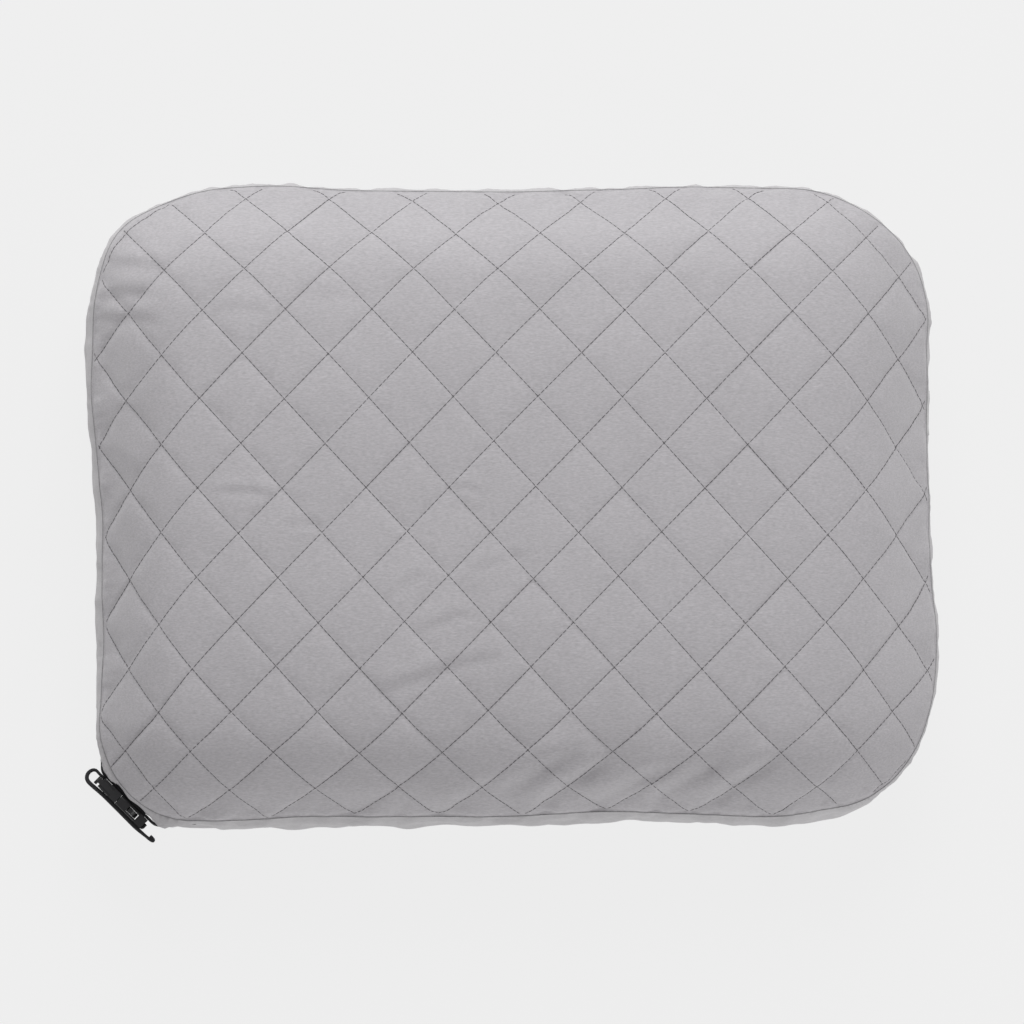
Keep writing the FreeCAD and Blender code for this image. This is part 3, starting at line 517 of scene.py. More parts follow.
# Soft folds of the quilted face, in mm on the plan: start, end, half width and depth.
FOLDS = (
    ((-78, -106), (-4, -84), 4.2, 1.0),
    ((-54, -73), (-22, -62), 3.4, 0.75),
    ((-68, -52), (-46, -41), 3.2, 0.5),
    ((-24, -39), (8, -31), 3.2, 0.45),
    ((-40, -168), (-2, -152), 4.2, 0.9),
    ((-10, -160), (36, -136), 4.6, 2.4),
    ((12, -166), (52, -141), 4.2, 2.6),
    ((40, -166), (88, -143), 4.4, 2.6),
    ((73, -164), (113, -141), 4.4, 2.6),
    ((106, -164), (146, -139), 4.6, 2.8),
    ((-163, 4), (-131, 1), 2.6, 0.7),
    ((-125, -13), (-102, -17), 2.8, 0.45),
    ((-37, 7), (-19, 2), 2.6, 0.4),
    ((-228, 98), (-192, 95), 4.0, 1.0),
    ((-226, 110), (-196, 111), 3.6, 0.9),
    ((-220, 129), (-189, 123), 4.4, 1.4),
    ((-165, 101), (-134, 100), 4.2, 0.6),
    ((-121, 110), (-80, 106), 4.2, 0.5),
    ((-222, -62), (-210, -30), 3.4, 0.7),
    ((-224, -95), (-207, -70), 3.4, 0.7),
    ((-223, 30), (-205, 12), 3.2, 0.5),
    ((196, -60), (214, -40), 4.0, 0.4),
)


def fold_relief(plan):
    """Each fold is a shallow valley with a soft ridge beside it, dying out at both ends."""
    made = np.zeros(plan.shape[:-1])
    for start, end, half_width, depth in FOLDS:
        a, b = np.array(start) * MM, np.array(end) * MM
        way = unit(b - a)
        share = (plan - a) @ way / np.linalg.norm(b - a)
        across = (plan - a) @ np.array([-way[1], way[0]]) - 2.5 * MM * np.sin(share * 2.6)
        across = across / (half_width * MM)
        ends = smooth(share / 0.3 + 0.3) * smooth((1 - share) / 0.3 + 0.3)
        made += depth * MM * ends * (0.75 * np.exp(-((across - 1.7) ** 2) / 1.9) - np.exp(-(across**2)))
    return made


def seam_gather(rim, from_seam):
    """Small gathers that the perimeter seam makes in the cloth beside it."""
    swell = np.exp(1 - from_seam / (4 * MM)) * from_seam / (4 * MM)
    return 0.6 * MM * waves(rim, 19 * MM, 31, 3) * swell


# ---------------- materials


class Nodes:
    """A node material in the making."""

    def __init__(self, name):
        self.material = bpy.data.materials.new(name)
        self.material.use_nodes = True
        self.tree = self.material.node_tree
        self.shader = next(n for n in self.tree.nodes if n.type == "BSDF_PRINCIPLED")

    def add(self, kind, inputs=None, **settings):
        node = self.tree.nodes.new(kind)
        for key, value in settings.items():
            setattr(node, key, value)
        for key, value in (inputs or {}).items():
            self.put(node.inputs[key], value)
        return node

    def put(self, socket, value):
        if isinstance(value, bpy.types.NodeSocket):
            self.tree.links.new(value, socket)
        else:
            socket.default_value = value

    def math(self, operation, *values):
        node = self.add("ShaderNodeMath", operation=operation)
        for socket, value in zip(node.inputs, values):
            self.put(socket, value)
        return node.outputs[0]

    def place(self, scale=(1, 1, 1)):
        """The object's own coordinates in metres, scaled."""
        coordinates = self.add("ShaderNodeTexCoord").outputs["Object"]
        return self.add("ShaderNodeMapping", {"Vector": coordinates, "Scale": scale}).outputs[0]

    def noise(self, vector, scale, detail=2.0, roughness=0.5):
        inputs = {"Vector": vector, "Scale": scale, "Detail": detail, "Roughness": roughness}
        return self.add("ShaderNodeTexNoise", inputs).outputs["Fac"]

    def ramp(self, value, *stops):
        """A colour ramp through (position, colour) stops."""
        node = self.add("ShaderNodeValToRGB", {"Fac": value})
        elements = node.color_ramp.elements
        while len(elements) < len(stops):
            elements.new(0.5)
        for element, (position, colour) in zip(elements, stops):
            element.position, element.color = position, (*colour, 1)
        return node.outputs["Color"]

    def mix(self, share, a, b, blend="MIX"):
        node = self.add("ShaderNodeMix", data_type="RGBA", blend_type=blend)
        for key, value in (("Factor_Float", share), ("A_Color", a), ("B_Color", b)):
            socket = next(i for i in node.inputs if i.identifier == key)
            if isinstance(value, tuple):
                value = (*value, 1)
            self.put(socket, value)
        return next(o for o in node.outputs if o.identifier == "Result_Color")

    def bump(self, height, strength, distance, below=None):
        inputs = {"Height": height, "Strength": strength, "Distance": distance}
        if below is not None:
            inputs["Normal"] = below
        return self.add("ShaderNodeBump", inputs).outputs[0]

    def finish(self, **sockets):
        for key, value in sockets.items():
            self.put(self.shader.inputs[key.replace("_", " ")], value)
        return self.material


def grey(value):
    return (value, value, value)


def tinted(colour, share):
    return tuple(c * share for c in colour)


def knit(name, tone, dark, light):
    """Heathered brushed knit: short flecks of lighter and darker yarn along its courses."""
    m = Nodes(name)
    flecks = m.noise(m.place((420, 1500, 900)), 1.0, 3.0, 0.65)
    streaks = m.noise(m.place((170, 1250, 800)), 1.0, 2.0, 0.55)
    cloud = m.noise(m.place(), 24.0)
    fine = m.ramp(flecks, (0.30, tinted(tone, dark)), (0.5, tone), (0.72, tinted(tone, light)))
    colour = m.mix(1.0, fine, m.ramp(cloud, (0.3, grey(0.96)), (0.7, grey(1.0))), "MULTIPLY")
    pale = m.ramp(streaks, (0.62, grey(0.0)), (0.76, grey(0.55)))
    colour = m.mix(m.add("ShaderNodeRGBToBW", {"Color": pale}).outputs[0], colour, tinted(tone, 1.28))
    rows = {"Vector": m.place(), "Scale": 230.0, "Distortion": 6.0, "Detail": 2.0, "Detail Scale": 90.0}
    courses = m.add("ShaderNodeTexWave", rows, bands_direction="Y").outputs["Fac"]
    fuzz = m.noise(m.place((1, 1.6, 1.3)), 1300.0, 3.0, 0.65)
    normal = m.bump(fuzz, 0.55, 0.00013, m.bump(courses, 0.2, 0.0001))
    return m.finish(Base_Color=colour, Roughness=0.94, Normal=normal, Sheen_Weight=0.25, Sheen_Roughness=0.5)


def dyed_cloth(name, colour, thread=900.0):
    """Plain woven cloth of one colour."""
    m = Nodes(name)
    place = m.place()
    rows = {"Vector": place, "Scale": thread / 3, "Distortion": 0.6}
    warp, weft = (m.add("ShaderNodeTexWave", rows, bands_direction=way).outputs["Fac"] for way in "XZ")
    weave = m.math("MULTIPLY", warp, weft)
    tone = m.ramp(m.noise(place, thread), (0.3, tinted(colour, 0.85)), (0.7, colour))
    return m.finish(Base_Color=tone, Roughness=0.9, Normal=m.bump(weave, 0.5, 0.0001), Sheen_Weight=0.1)


def thread_material(name, colour):
    """Twisted sewing thread."""
    m = Nodes(name)
    twist = m.noise(m.place(), 2600.0)
    tone = m.ramp(twist, (0.3, tinted(colour, 0.7)), (0.7, tinted(colour, 1.15)))
    return m.finish(Base_Color=tone, Roughness=0.7, Normal=m.bump(twist, 0.6, 0.00006))


knit_face = knit("knit_face", (0.443, 0.43, 0.446), 0.86, 1.14)
knit_panel = knit("knit_panel", (0.49, 0.48, 0.49), 0.93, 1.07)
quilt_thread = thread_material("quilt_thread", (0.075, 0.074, 0.076))
# This material is real thread in the zipper's topstitching, and painted shade in the perimeter seam, where
# its dark cord stands for the groove's shadow line.
seam_thread_and_shade = thread_material("seam_thread_and_shade", (0.3, 0.298, 0.302))

# ---------------- the quilted face


def show(piece, body, material):
    """Gives a piece its one material, the body that it rides on, if any."""
    piece.data.materials.clear()
    piece.data.materials.append(material)
    if body:
        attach(piece, body)
    return piece


FINER = 4  # visible lattice steps in each simulated one
STEP = DIAMOND / 2 / FINER


def quilt_marks(axis, times=1):
    """Lattice positions along an axis, with the quilting's crossings among them."""
    reach = UNROLLED[axis] + 10 * MM
    low = math.ceil((reach + QUILT_ORIGIN[axis]) / STEP[axis])
    high = math.ceil((reach - QUILT_ORIGIN[axis]) / STEP[axis])
    return QUILT_ORIGIN[axis] + np.arange(-low * times, high * times + 1) * STEP[axis] / times


def build_face():
    """The quilted face: its settled cloth, with the quilting, the folds and the gathers in it."""
    coarse = Cloth(quilt_marks(0), quilt_marks(1), ROLL, TOP_EDGE, top_form, unroll)
    hold = np.where(coarse.out > TOP_EDGE - 1 * MM, 1.0, 0.0)
    hold = np.maximum(hold, 0.25 * smooth(-coarse.out / (40 * MM)))
    moved = simulate(coarse, "face_cloth", hold, 0.6, 1.006)
    fine = Cloth(quilt_marks(0, FINER), quilt_marks(1, FINER), ROLL, TOP_EDGE, top_form, unroll)
    points = top_form(fine.flat) + refine(moved, FINER)
    normal = lattice_normals(points)
    fade = 0.35 + 0.65 * smooth((TOP_EDGE - fine.out) / (12 * MM))
    plan, from_seam = points[..., :2].copy(), np.maximum(TOP_EDGE - fine.out, 0)
    ease = smooth(from_seam / (1.5 * MM))
    relief = quilt_relief(fine.cut) * fade + seam_gather(plan, from_seam)
    points += normal * (relief * ease)[..., None]
    points[..., 2] += fold_relief(plan) * ease
    return fine, points, coarse, moved


face, face_points, face_coarse, face_moved = build_face()
cell_middle = (face.cut[:-1, :-1] + face.cut[1:, 1:]) / 2
down_nearer = np.abs(off_line(cell_middle, 1)[0]) < np.abs(off_line(cell_middle, -1)[0])
cover_top = make_mesh("cover_top", face_points[face.used], face.faces(turned=down_nearer))
show(cover_top, "pillow", knit_face)
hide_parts("cover_top_face")


def spokes(side, up, count):
    """Directions evenly round a thread, from two that are square to it."""
    turn = np.arange(count) * 2 * math.pi / count
    return side[..., None, :] * np.cos(turn)[:, None] + up[..., None, :] * np.sin(turn)[:, None]


def skin(here, ahead):
    """Quads between closed rings of point numbers and the rings after them."""
    return np.stack([here, np.roll(here, -1, -1), np.roll(ahead, -1, -1), ahead], -1).reshape(-1, 4)


def thicken(piece, thick, offset=-1):
    solid = piece.modifiers.new("thickness", "SOLIDIFY")
    solid.thickness, solid.offset = thick, offset


def lay_stitches(name, starts, ends, lift, cloth, points, normals, radius):
    """Short threads on the cloth between flat points, diving in at both ends."""
    rings, sides = 6, 5
    share = np.linspace(0, 1, rings)
    flat = starts[:, None] + (ends - starts)[:, None] * share[None, :, None]
    centre = cloth.sample(points, flat)
    up = unit(cloth.sample(normals, flat))
    rise = lift * (1 - (2 * share - 1) ** 4) - 0.6 * radius
    centre = centre + up * rise[None, :, None]
    side = unit(np.cross(np.gradient(centre, axis=1), up))
    thick = radius * (0.55 + 0.45 * np.sin(math.pi * np.clip(share, 0.08, 0.92)))
    ring = centre[:, :, None] + spokes(side, up, sides) * thick[None, :, None, None]
    index = np.arange(len(starts) * rings * sides).reshape(-1, rings, sides)
    return make_mesh(name, ring.reshape(-1, 3), skin(index[:, :-1], index[:, 1:]))


STITCH = 3.1 * MM
STITCH_GAP = 0.22 * MM
THREAD = 0.2 * MM


def quilting_stitches(family, name):
    """Lock stitches along every quilting line of a family."""
    reach, lines, lift = 420 * MM, 14, 0.16 * MM
    starts, ends = [], []
    across = np.array([1 / DIAMOND[0], family / DIAMOND[1]]) * SPACING**2
    for line in range(-lines, lines + 1):
        along = np.arange(-reach, reach, STITCH) + rng.uniform(0, STITCH)
        pair = []
        for edge in (along + rng.normal(0, 0.08 * MM, len(along)), along + STITCH - STITCH_GAP):
            stray = wobble(line, edge, family)[:, None] * across / SPACING
            pair.append(QUILT_ORIGIN + line * across + edge[:, None] * LINE_WAY[family] + stray)
        out = np.maximum(from_core(unroll(pair[0]), ROLL)[0], from_core(unroll(pair[1]), ROLL)[0])
        near = out < TOP_EDGE - 1.5 * MM
        starts.append(pair[0][near])
        ends.append(pair[1][near])
    starts, ends = np.concatenate(starts), np.concatenate(ends)
    piece = lay_stitches(name, starts, ends, lift, face, face_points, face_normals, THREAD)
    show(piece, "pillow", quilt_thread)


face_normals = lattice_normals(face_points)
for family, name in ((1, "quilt_stitches_down"), (-1, "quilt_stitches_up")):
    quilting_stitches(family, name)

# ---------------- the lower panel

MOUTH = 147 * MM  # half length of the zipper's slit
ZIP_ANGLE = math.pi / 2 - ZIP_TILT
SLIT_HALF = math.asin(4.6 * MM / BOTTOM_ROLL)
CORE_Y = HALF[1] - BOTTOM_ROLL
SLIT = [CORE_Y + BOTTOM_ROLL * (ZIP_ANGLE + k * SLIT_HALF) for k in (-1, 1)]
LOW_FINER = 4


def low_marks(axis, marks):
    """Lattice positions along an axis of the lower panel, with the given marks among them."""
    reach = HALF[axis] - BOTTOM_ROLL + LOW_EDGE + 8 * MM
    return divide([-reach, *marks, reach], 7.4 * MM)


def build_panel():
    """The lower panel: its settled cloth, held still round the zipper, with creases in it."""
    xs, ys = low_marks(0, [-MOUTH, MOUTH]), low_marks(1, SLIT)
    coarse = Cloth(xs, ys, BOTTOM_ROLL, LOW_EDGE, low_form)
    form = low_form(coarse.flat)
    off_slit = np.abs(coarse.flat - [0, sum(SLIT) / 2])
    zone = (off_slit[..., 0] < MOUTH + 14 * MM) & (off_slit[..., 1] < 15 * MM)
    hold = np.where((coarse.out > LOW_EDGE - 1 * MM) | zone, 1.0, 0.0)
    hold = np.maximum(hold, smooth((4 * MM - form[..., 2]) / (4 * MM)))
    moved = simulate(coarse, "panel_cloth", hold, -0.6, 1.012)
    fine = Cloth(between(xs, LOW_FINER), between(ys, LOW_FINER), BOTTOM_ROLL, LOW_EDGE, low_form)
    points = low_form(fine.flat) + refine(moved, LOW_FINER)
    from_seam = np.maximum(LOW_EDGE - fine.out, 0)
    calm = smooth(1 - refine(zone[..., None].astype(float), LOW_FINER)[..., 0])
    strap_near = np.linalg.norm(points[..., :2] - STRAP_AT, axis=-1)
    towards_back = from_core(fine.flat, BOTTOM_ROLL)[1][..., 1]
    creases = (0.6 - 0.4 * towards_back) * MM * waves(points, 34 * MM, 33, 3) * smooth(from_seam / (14 * MM))
    creases *= smooth(strap_near / (45 * MM) - 0.9)
    relief = (creases + seam_gather(points[..., :2].copy(), from_seam)) * calm
    points -= lattice_normals(points) * (relief * smooth(from_seam / (1.5 * MM)))[..., None]
    points[..., 2] = np.maximum(points[..., 2], 0.05 * MM)
    return fine, points, coarse, low_form(coarse.flat) + moved


panel, panel_points, panel_coarse, panel_coarse_points = build_panel()
middle = panel.flat[:-1, :-1] + (panel.flat[1:, 1:] - panel.flat[:-1, :-1]) / 2
slit = (np.abs(middle[..., 0]) < MOUTH) & (middle[..., 1] > SLIT[0]) & (middle[..., 1] < SLIT[1])
cover_bottom = make_mesh("cover_bottom", panel_points[panel.used], panel.faces(~slit)[:, ::-1])
thicken(cover_bottom, 0.8 * MM)
show(cover_bottom, "pillow", knit_panel)
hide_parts("cover_bottom_panel", "cover_seam_allowance")

# ---------------- seam, lining and filling


def resample(path, step, closed=False):
    """The path again, with points an even step apart."""
    path = np.concatenate([path, path[:1]]) if closed else np.asarray(path)
    gone = np.concatenate([[0], np.cumsum(np.linalg.norm(np.diff(path, axis=0), axis=1))])
    count = max(2, round(gone[-1] / step))
    at = np.linspace(0, gone[-1], count + 1)
    made = np.stack([np.interp(at, gone, path[:, k]) for k in range(path.shape[1])], -1)
    return made[:-1] if closed else made


def outline(inset, edge, step):
    """Flat points round a panel at a distance of cloth from its roll's start."""
    made = []
    for k, quadrant in enumerate(((1, 1), (-1, 1), (-1, -1), (1, -1))):
        corner = STRAP_CORNER if quadrant == (-1, -1) else CORNER
        centre = np.array(quadrant) * (HALF - corner)
        angles = np.radians(90 * k + np.linspace(0, 90, 61))
        made.append(centre + (corner - inset + edge) * np.stack([np.cos(angles), np.sin(angles)], -1))
    return resample(np.concatenate(made), step, closed=True)


def tube(name, path, radius, sides=8, closed=False):
    """A round thread along a path. The radius is one number, or one for each point."""
    path = np.asarray(path, float)
    way = (np.roll(path, -1, 0) - np.roll(path, 1, 0)) if closed else np.gradient(path, axis=0)
    way = unit(way)
    side = [np.cross(way[0], (0.3, 0.2, 1.0))]
    for direction in way:
        side.append(unit(side[-1] - direction * (side[-1] @ direction)))
    side = np.array(side[1:])
    spoke = spokes(side, np.cross(way, side), sides)
    rings = path[:, None] + spoke * np.broadcast_to(radius, len(path))[:, None, None]
    index = np.arange(len(path) * sides).reshape(-1, sides)
    quads = skin(index, np.roll(index, -1, 0)) if closed else skin(index[:-1], index[1:])
    return make_mesh(name, rings.reshape(-1, 3), quads)


# The perimeter seam is drawn as a dark cord sunk deep in the seam's groove. It is painted shade for the
# groove's shadow line, and it also hides the crack between the two panels.
seam_path = top_form(outline(ROLL, TOP_EDGE, 1.2 * MM))
seam_twist = 0.28 * MM + 0.04 * MM * np.sin(np.arange(len(seam_path)) * 2.1)
show(tube("cover_seam", seam_path, seam_twist, closed=True), "pillow", seam_thread_and_shade)

INNER_MARGIN = 11 * MM  # the hidden layers stop this much short of the seam


def inner_layer(name, depth, thick, material, nodes, upper, fill=None):
    """A hidden layer, drawn inside one panel of the cover at a depth."""
    cloth = face_coarse if upper else panel_coarse
    points = top_form(cloth.flat) + face_moved if upper else panel_coarse_points
    outward = lattice_normals(points) * (1 if upper else -1)
    inner = points - outward * depth
    inner[..., 2] = np.maximum(inner[..., 2], depth / 2)
    keep = (cloth.out < cloth.edge - INNER_MARGIN)[:-1, :-1] & cloth.cells
    faces = cloth.faces(keep)
    used, renumbered = np.unique(faces, return_inverse=True)
    faces = renumbered.reshape(faces.shape)
    piece = make_mesh(name, inner[cloth.used][used], faces if upper else faces[:, ::-1])
    thicken(piece, thick)
    show(piece, "pillow", material)
    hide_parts(*nodes)
    if fill is None:
        size = cloth.cut[cloth.used][used]
        span = size.max(0) - size.min(0)
        edges = np.diff(points, axis=0)[:, :-1], np.diff(points, axis=1)[:-1]
        area = float(np.linalg.norm(np.cross(*edges), axis=-1)[keep].sum())
        min(area, float(span.prod()))


wadding = dyed_cloth("white_wadding", (0.8, 0.8, 0.79), 400.0)
lining = dyed_cloth("liner_cloth", (0.74, 0.74, 0.72))
foam = dyed_cloth("shredded_foam", (0.8, 0.76, 0.62), 200.0)
inner_layer("quilt_batting", 4.2 * MM, 1.2 * MM, wadding, ["cover_quilt_batting"], True, 0.4)
inner_layer("quilt_backing", 5.8 * MM, 0.3 * MM, lining, ["cover_quilt_backing"], True)
inner_layer("liner_top", 6.6 * MM, 0.4 * MM, lining, ["liner_top_panel"], True)
inner_layer("liner_bottom", 4.4 * MM, 0.4 * MM, lining, ["liner_bottom_panel"], False)
inner_layer("filling_top", 7.6 * MM, 12 * MM, foam, ["foam_fill"], True, 0.7)
inner_layer("filling_bottom", 5.4 * MM, 12 * MM, foam, [], False, 0.7)

# ---------------- the strap

STRAP_ALONG = np.array([1, -1]) / math.sqrt(2)
STRAP_IN = np.array([1, 1]) / math.sqrt(2)
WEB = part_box("strap_backing_web")
WEB_WIDTH = WEB[1][2] - WEB[0][2]
WEB_THICK = 1.6 * MM  # drawn thicker than the frame's web
WEB_FREE = 2.3 * MM  # and thicker still in the free loop and tail
WEB_RIBS = 11


def strap_place(local):
    """From the strap's own frame, in mm along it, inwards and up from its level, to the row's."""
    local = np.asarray(local, float) * MM
    plan = STRAP_AT + local[..., :1] * STRAP_ALONG + local[..., 1:2] * STRAP_IN
    up = local[..., 2:] if local.shape[-1] > 2 else np.zeros_like(plan[..., :1])
    return np.concatenate([plan, STRAP_LEVEL + up], -1)


def wrap(start, heading, *legs):
    """A web's way round the buckle's bars: straight lengths, and (angle, radius) turns."""
    at, angle = np.array(start, float), math.radians(heading)
    made = [at]
    for leg in legs:
        if isinstance(leg, tuple):
            turn, radius = math.radians(leg[0]), math.copysign(leg[1], leg[0])
            centre = at + radius * np.array([-math.sin(angle), math.cos(angle)])
            for share in np.linspace(0, 1, 9)[1:]:
                now = angle + turn * share
                at = centre - radius * np.array([-math.sin(now), math.cos(now)])
                made.append(at)
            angle += turn
        else:
            at = at + leg * np.array([math.cos(angle), math.sin(angle)])
            made.append(at)
    return np.array(made)


def free_run(controls):
    """A smooth free length of web that its control points guide."""
    data = bpy.data.curves.new("free_run", "CURVE")
    data.dimensions, data.resolution_u = "3D", 12
    spline = data.splines.new("NURBS")
    spline.points.add(len(controls) - 1)
    for point, (x, y) in zip(spline.points, controls):
        point.co = (x, y, 0, 1)
    spline.order_u, spline.use_endpoint_u = 3, True
    guide = bpy.data.objects.new("free_run", data)
    mesh = bpy.data.meshes.new_from_object(guide)
    made = np.array([v.co[:2] for v in mesh.vertices])
    for store, item in ((bpy.data.objects, guide), (bpy.data.curves, data), (bpy.data.meshes, mesh)):
        store.remove(item)
    return made


def webbing(name, path, thicks):
    """Ribbed woven tape standing on edge along a plan path, with closed ends. The thicknesses
    are evenly spaced along it."""
    path = resample(path, 0.45)
    width = WEB_WIDTH / MM
    thick = np.interp(np.linspace(0, 1, len(path)), np.linspace(0, 1, len(thicks)), thicks) / MM
    way = unit(np.gradient(path, axis=0))
    side = np.stack([-way[:, 1], way[:, 0]], -1)
    across = np.linspace(-1, 1, WEB_RIBS * 6 + 1)
    half = (0.94 + 0.06 * np.cos(across * WEB_RIBS * math.pi)) * (1 - 0.75 * np.abs(across) ** 26) / 2
    out = np.concatenate([half, -half[::-1]])
    up = np.concatenate([across, across[::-1]]) * width / 2
    plan = path[:, None] + side[:, None] * (thick[:, None] * out)[..., None]
    points = np.concatenate([plan, np.broadcast_to(up[:, None], plan.shape[:2] + (1,))], -1)
    ring = len(out)
    index = np.arange(points.shape[0] * ring).reshape(-1, ring)
    quads = [skin(index[:-1], index[1:])]
    last = ring - 1
    for end, flip in ((index[0], 1), (index[-1], -1)):
        caps = [[end[j], end[last - j], end[last - j - 1], end[j + 1]][::flip] for j in range(ring // 2 - 1)]
        quads.append(np.array(caps))
    return make_mesh(name, strap_place(points).reshape(-1, 3), np.concatenate(quads))


def bartack(at, heading):
    """A dense zigzag of thread across a web, in the strap's frame."""
    lift, height, wide, turns = 0.8, 11.0, 1.5, 14
    angle = math.radians(heading)
    way = np.array([math.cos(angle), math.sin(angle)])
    out = np.array([way[1], -way[0]])
    k = np.arange(2 * turns + 1)
    plan = np.array(at) + out * lift + ((k % 2)[:, None] - 0.5) * wide * way
    return np.concatenate([plan, (k / (2 * turns) - 0.5)[:, None] * height], -1)


web_cloth = dyed_cloth("webbing", (0.017, 0.017, 0.019), 1300.0)
tack_thread = thread_material("bartack_thread", (0.03, 0.03, 0.032))

LEFT, RIGHT = (90, 0.9), (-90, 0.9)  # a web's turns round the buckle's bars
load_path = wrap((-8.5, -7.2), 0, 1.8, LEFT, 4.6, LEFT, 6.3, (-45, 6), 17)
fixed_path = wrap((39.97, 15.74), 228.5, 19.38, (-48.5, 6), 4.74, LEFT, 4.4, LEFT, 2.5, LEFT, 2.2)
backing_path = wrap((-5.9, -0.75), 0, 23.0)
tail_start = wrap((-8.5, -7.2), 180, 1.7, RIGHT, 3.05, LEFT, 2.2)
loop_way = [(-16, -2.5), (-19, -2.2), (-20.7, -4.2), (-20.7, -7.4), (-18.4, -9.9), (-13, -9.6), (-7, -9.1)]
tail_loop = free_run([tail_start[-1], *loop_way, (0, -9.05), (6, -9.05), (10, -9.05)])
end_way = [(15, -9.1), (20, -9.05), (25, -8.6), (29.2, -8.3), (30.9, -7.6), (30.0, -6.6), (27.4, -6.75)]
tail_end = free_run([(10, -9.05), *end_way])


def draw_back(piece):
    """Gives the loose end a mesh of its own."""
    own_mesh(piece)


tail_path = np.concatenate([tail_start, tail_loop[1:]])
for name, path, body, node, thicks in (
    ("strap_load", load_path, None, "strap_load_web", [WEB_THICK]),
    ("strap_fixed", fixed_path, "pillow", "strap_fixed_web", [WEB_THICK]),
    ("strap_backing", backing_path, "pillow", "strap_backing_web", [1.2 * WEB_THICK]),
    ("strap_tail", tail_path, "plug", "strap_tail_web", 2 * [WEB_THICK] + 3 * [WEB_FREE]),
    ("strap_tail_end", tail_end, "plug", "strap_tail_web", 2 * [WEB_FREE] + 2 * [WEB_THICK]),
):
    piece = show(webbing(name, path, thicks), body, web_cloth)
    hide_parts(node)
    if not body:
        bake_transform(piece)
    if name == "strap_tail_end":
        draw_back(piece)

# The bartacks' places and headings in the strap's frame, two on each sewn web.
load_tacks = [((-26.6, 10.2), 135), ((-21, 4.6), 135)]
fixed_tacks = [((37.0, 13.7), 48.5), ((32.0, 7.3), 48.5)]
backing_tacks = [((-3.4, -0.9), 0), ((14.6, -0.9), 0)]
for name, body, places in (
    ("strap_tacks_pillow", "pillow", load_tacks + fixed_tacks + backing_tacks),
    ("strap_tacks_tail", "plug", [((27, -6.9), 12)]),
):
    tack = [tube(name, strap_place(bartack(at, heading)), 0.16 * MM, sides=5) for at, heading in places]
    piece = tack[0]
    with bpy.context.temp_override(active_object=piece, selected_editable_objects=tack):
        if len(tack) > 1:
            bpy.ops.object.join()
    show(piece, body, tack_thread)
    if body == "pillow":
        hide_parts("strap_bartacks")
    else:
        draw_back(piece)


def moulded(name, colour, roughness, grain=0.4, metallic=0.0):
    """Moulded plastic or cast metal with a fine surface grain."""
    m = Nodes(name)
    fine = m.noise(m.place(), 2200.0, 3.0, 0.6)
    tone = m.ramp(m.noise(m.place(), 90.0), (0.3, tinted(colour, 0.88)), (0.7, tinted(colour, 1.1)))
    rough = m.math("ADD", roughness - 0.05, m.math("MULTIPLY", fine, 0.1))
    return m.finish(Base_Color=tone, Roughness=rough, Metallic=metallic, Normal=m.bump(fine, grain, 0.00003))


def dress(node, material, bevel=0.0):
    """Gives a CAD node its material, and softens its edges."""
    piece = frame["nodes"][node]
    piece.data.materials.clear()
    piece.data.materials.append(material)
    if bevel:
        weld = piece.modifiers.new("weld", "WELD")
        weld.merge_threshold = 0.005 * MM
        soft = piece.modifiers.new("soft_edges", "BEVEL")
        soft.width, soft.segments, soft.limit_method, soft.angle_limit = bevel, 2, "ANGLE", math.radians(35)


acetal = moulded("acetal", (0.014, 0.014, 0.015), 0.42)
for node in ("buckle_socket", "buckle_plug", "buckle_prong_upper", "buckle_prong_lower"):
    dress(node, acetal, 0.25 * MM)

# ---------------- the zipper

tape_cloth = dyed_cloth("zip_tape", (0.05, 0.05, 0.053), 1500.0)
coil_nylon = moulded("zip_coil", (0.04, 0.04, 0.042), 0.45, 0.1)
gunmetal = moulded("gunmetal", (0.16, 0.16, 0.165), 0.36, 0.2, 1.0)
for node in ("zipper_tape_upper", "zipper_tape_lower"):
    dress(node, tape_cloth)
for node in ("zipper_top_stops", "zipper_bottom_stop", "zipper_slider", "zipper_pull"):
    dress(node, gunmetal, 0.15 * MM)

ZIP_UP = np.array([0, math.sin(ZIP_TILT), math.cos(ZIP_TILT)])
COILS = [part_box("zipper_coil_upper"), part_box("zipper_coil_lower")]
coil_low = np.min([low for low, _ in COILS], axis=0)
coil_high = np.max([high for _, high in COILS], axis=0)
ZIP_AT = (coil_low + coil_high) / 2 * [0, 1, 1]
COIL_PITCH = 1.25 * MM
COIL_POINTS = 10  # in each turn
for side, name, node in ((1, "coil_upper", "zipper_coil_upper"), (-1, "coil_lower", "zipper_coil_lower")):
    turns = int((coil_high[0] - coil_low[0]) / COIL_PITCH) - 1
    k = np.arange(turns * COIL_POINTS) / COIL_POINTS
    angle = 2 * math.pi * k
    x = coil_low[0] + 0.4 * MM + (k + (side > 0) / 2) * COIL_PITCH
    up = side * (1.15 - 1.5 * np.cos(angle)) * MM
    out = (0.05 + 0.8 * np.sin(angle)) * MM
    helix = ZIP_AT + x[:, None] * [1, 0, 0] + up[:, None] * ZIP_UP + out[:, None] * ZIP_OUT
    coil = show(tube(name, helix, 0.26 * MM, sides=6), "pillow", coil_nylon)
    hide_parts(node)

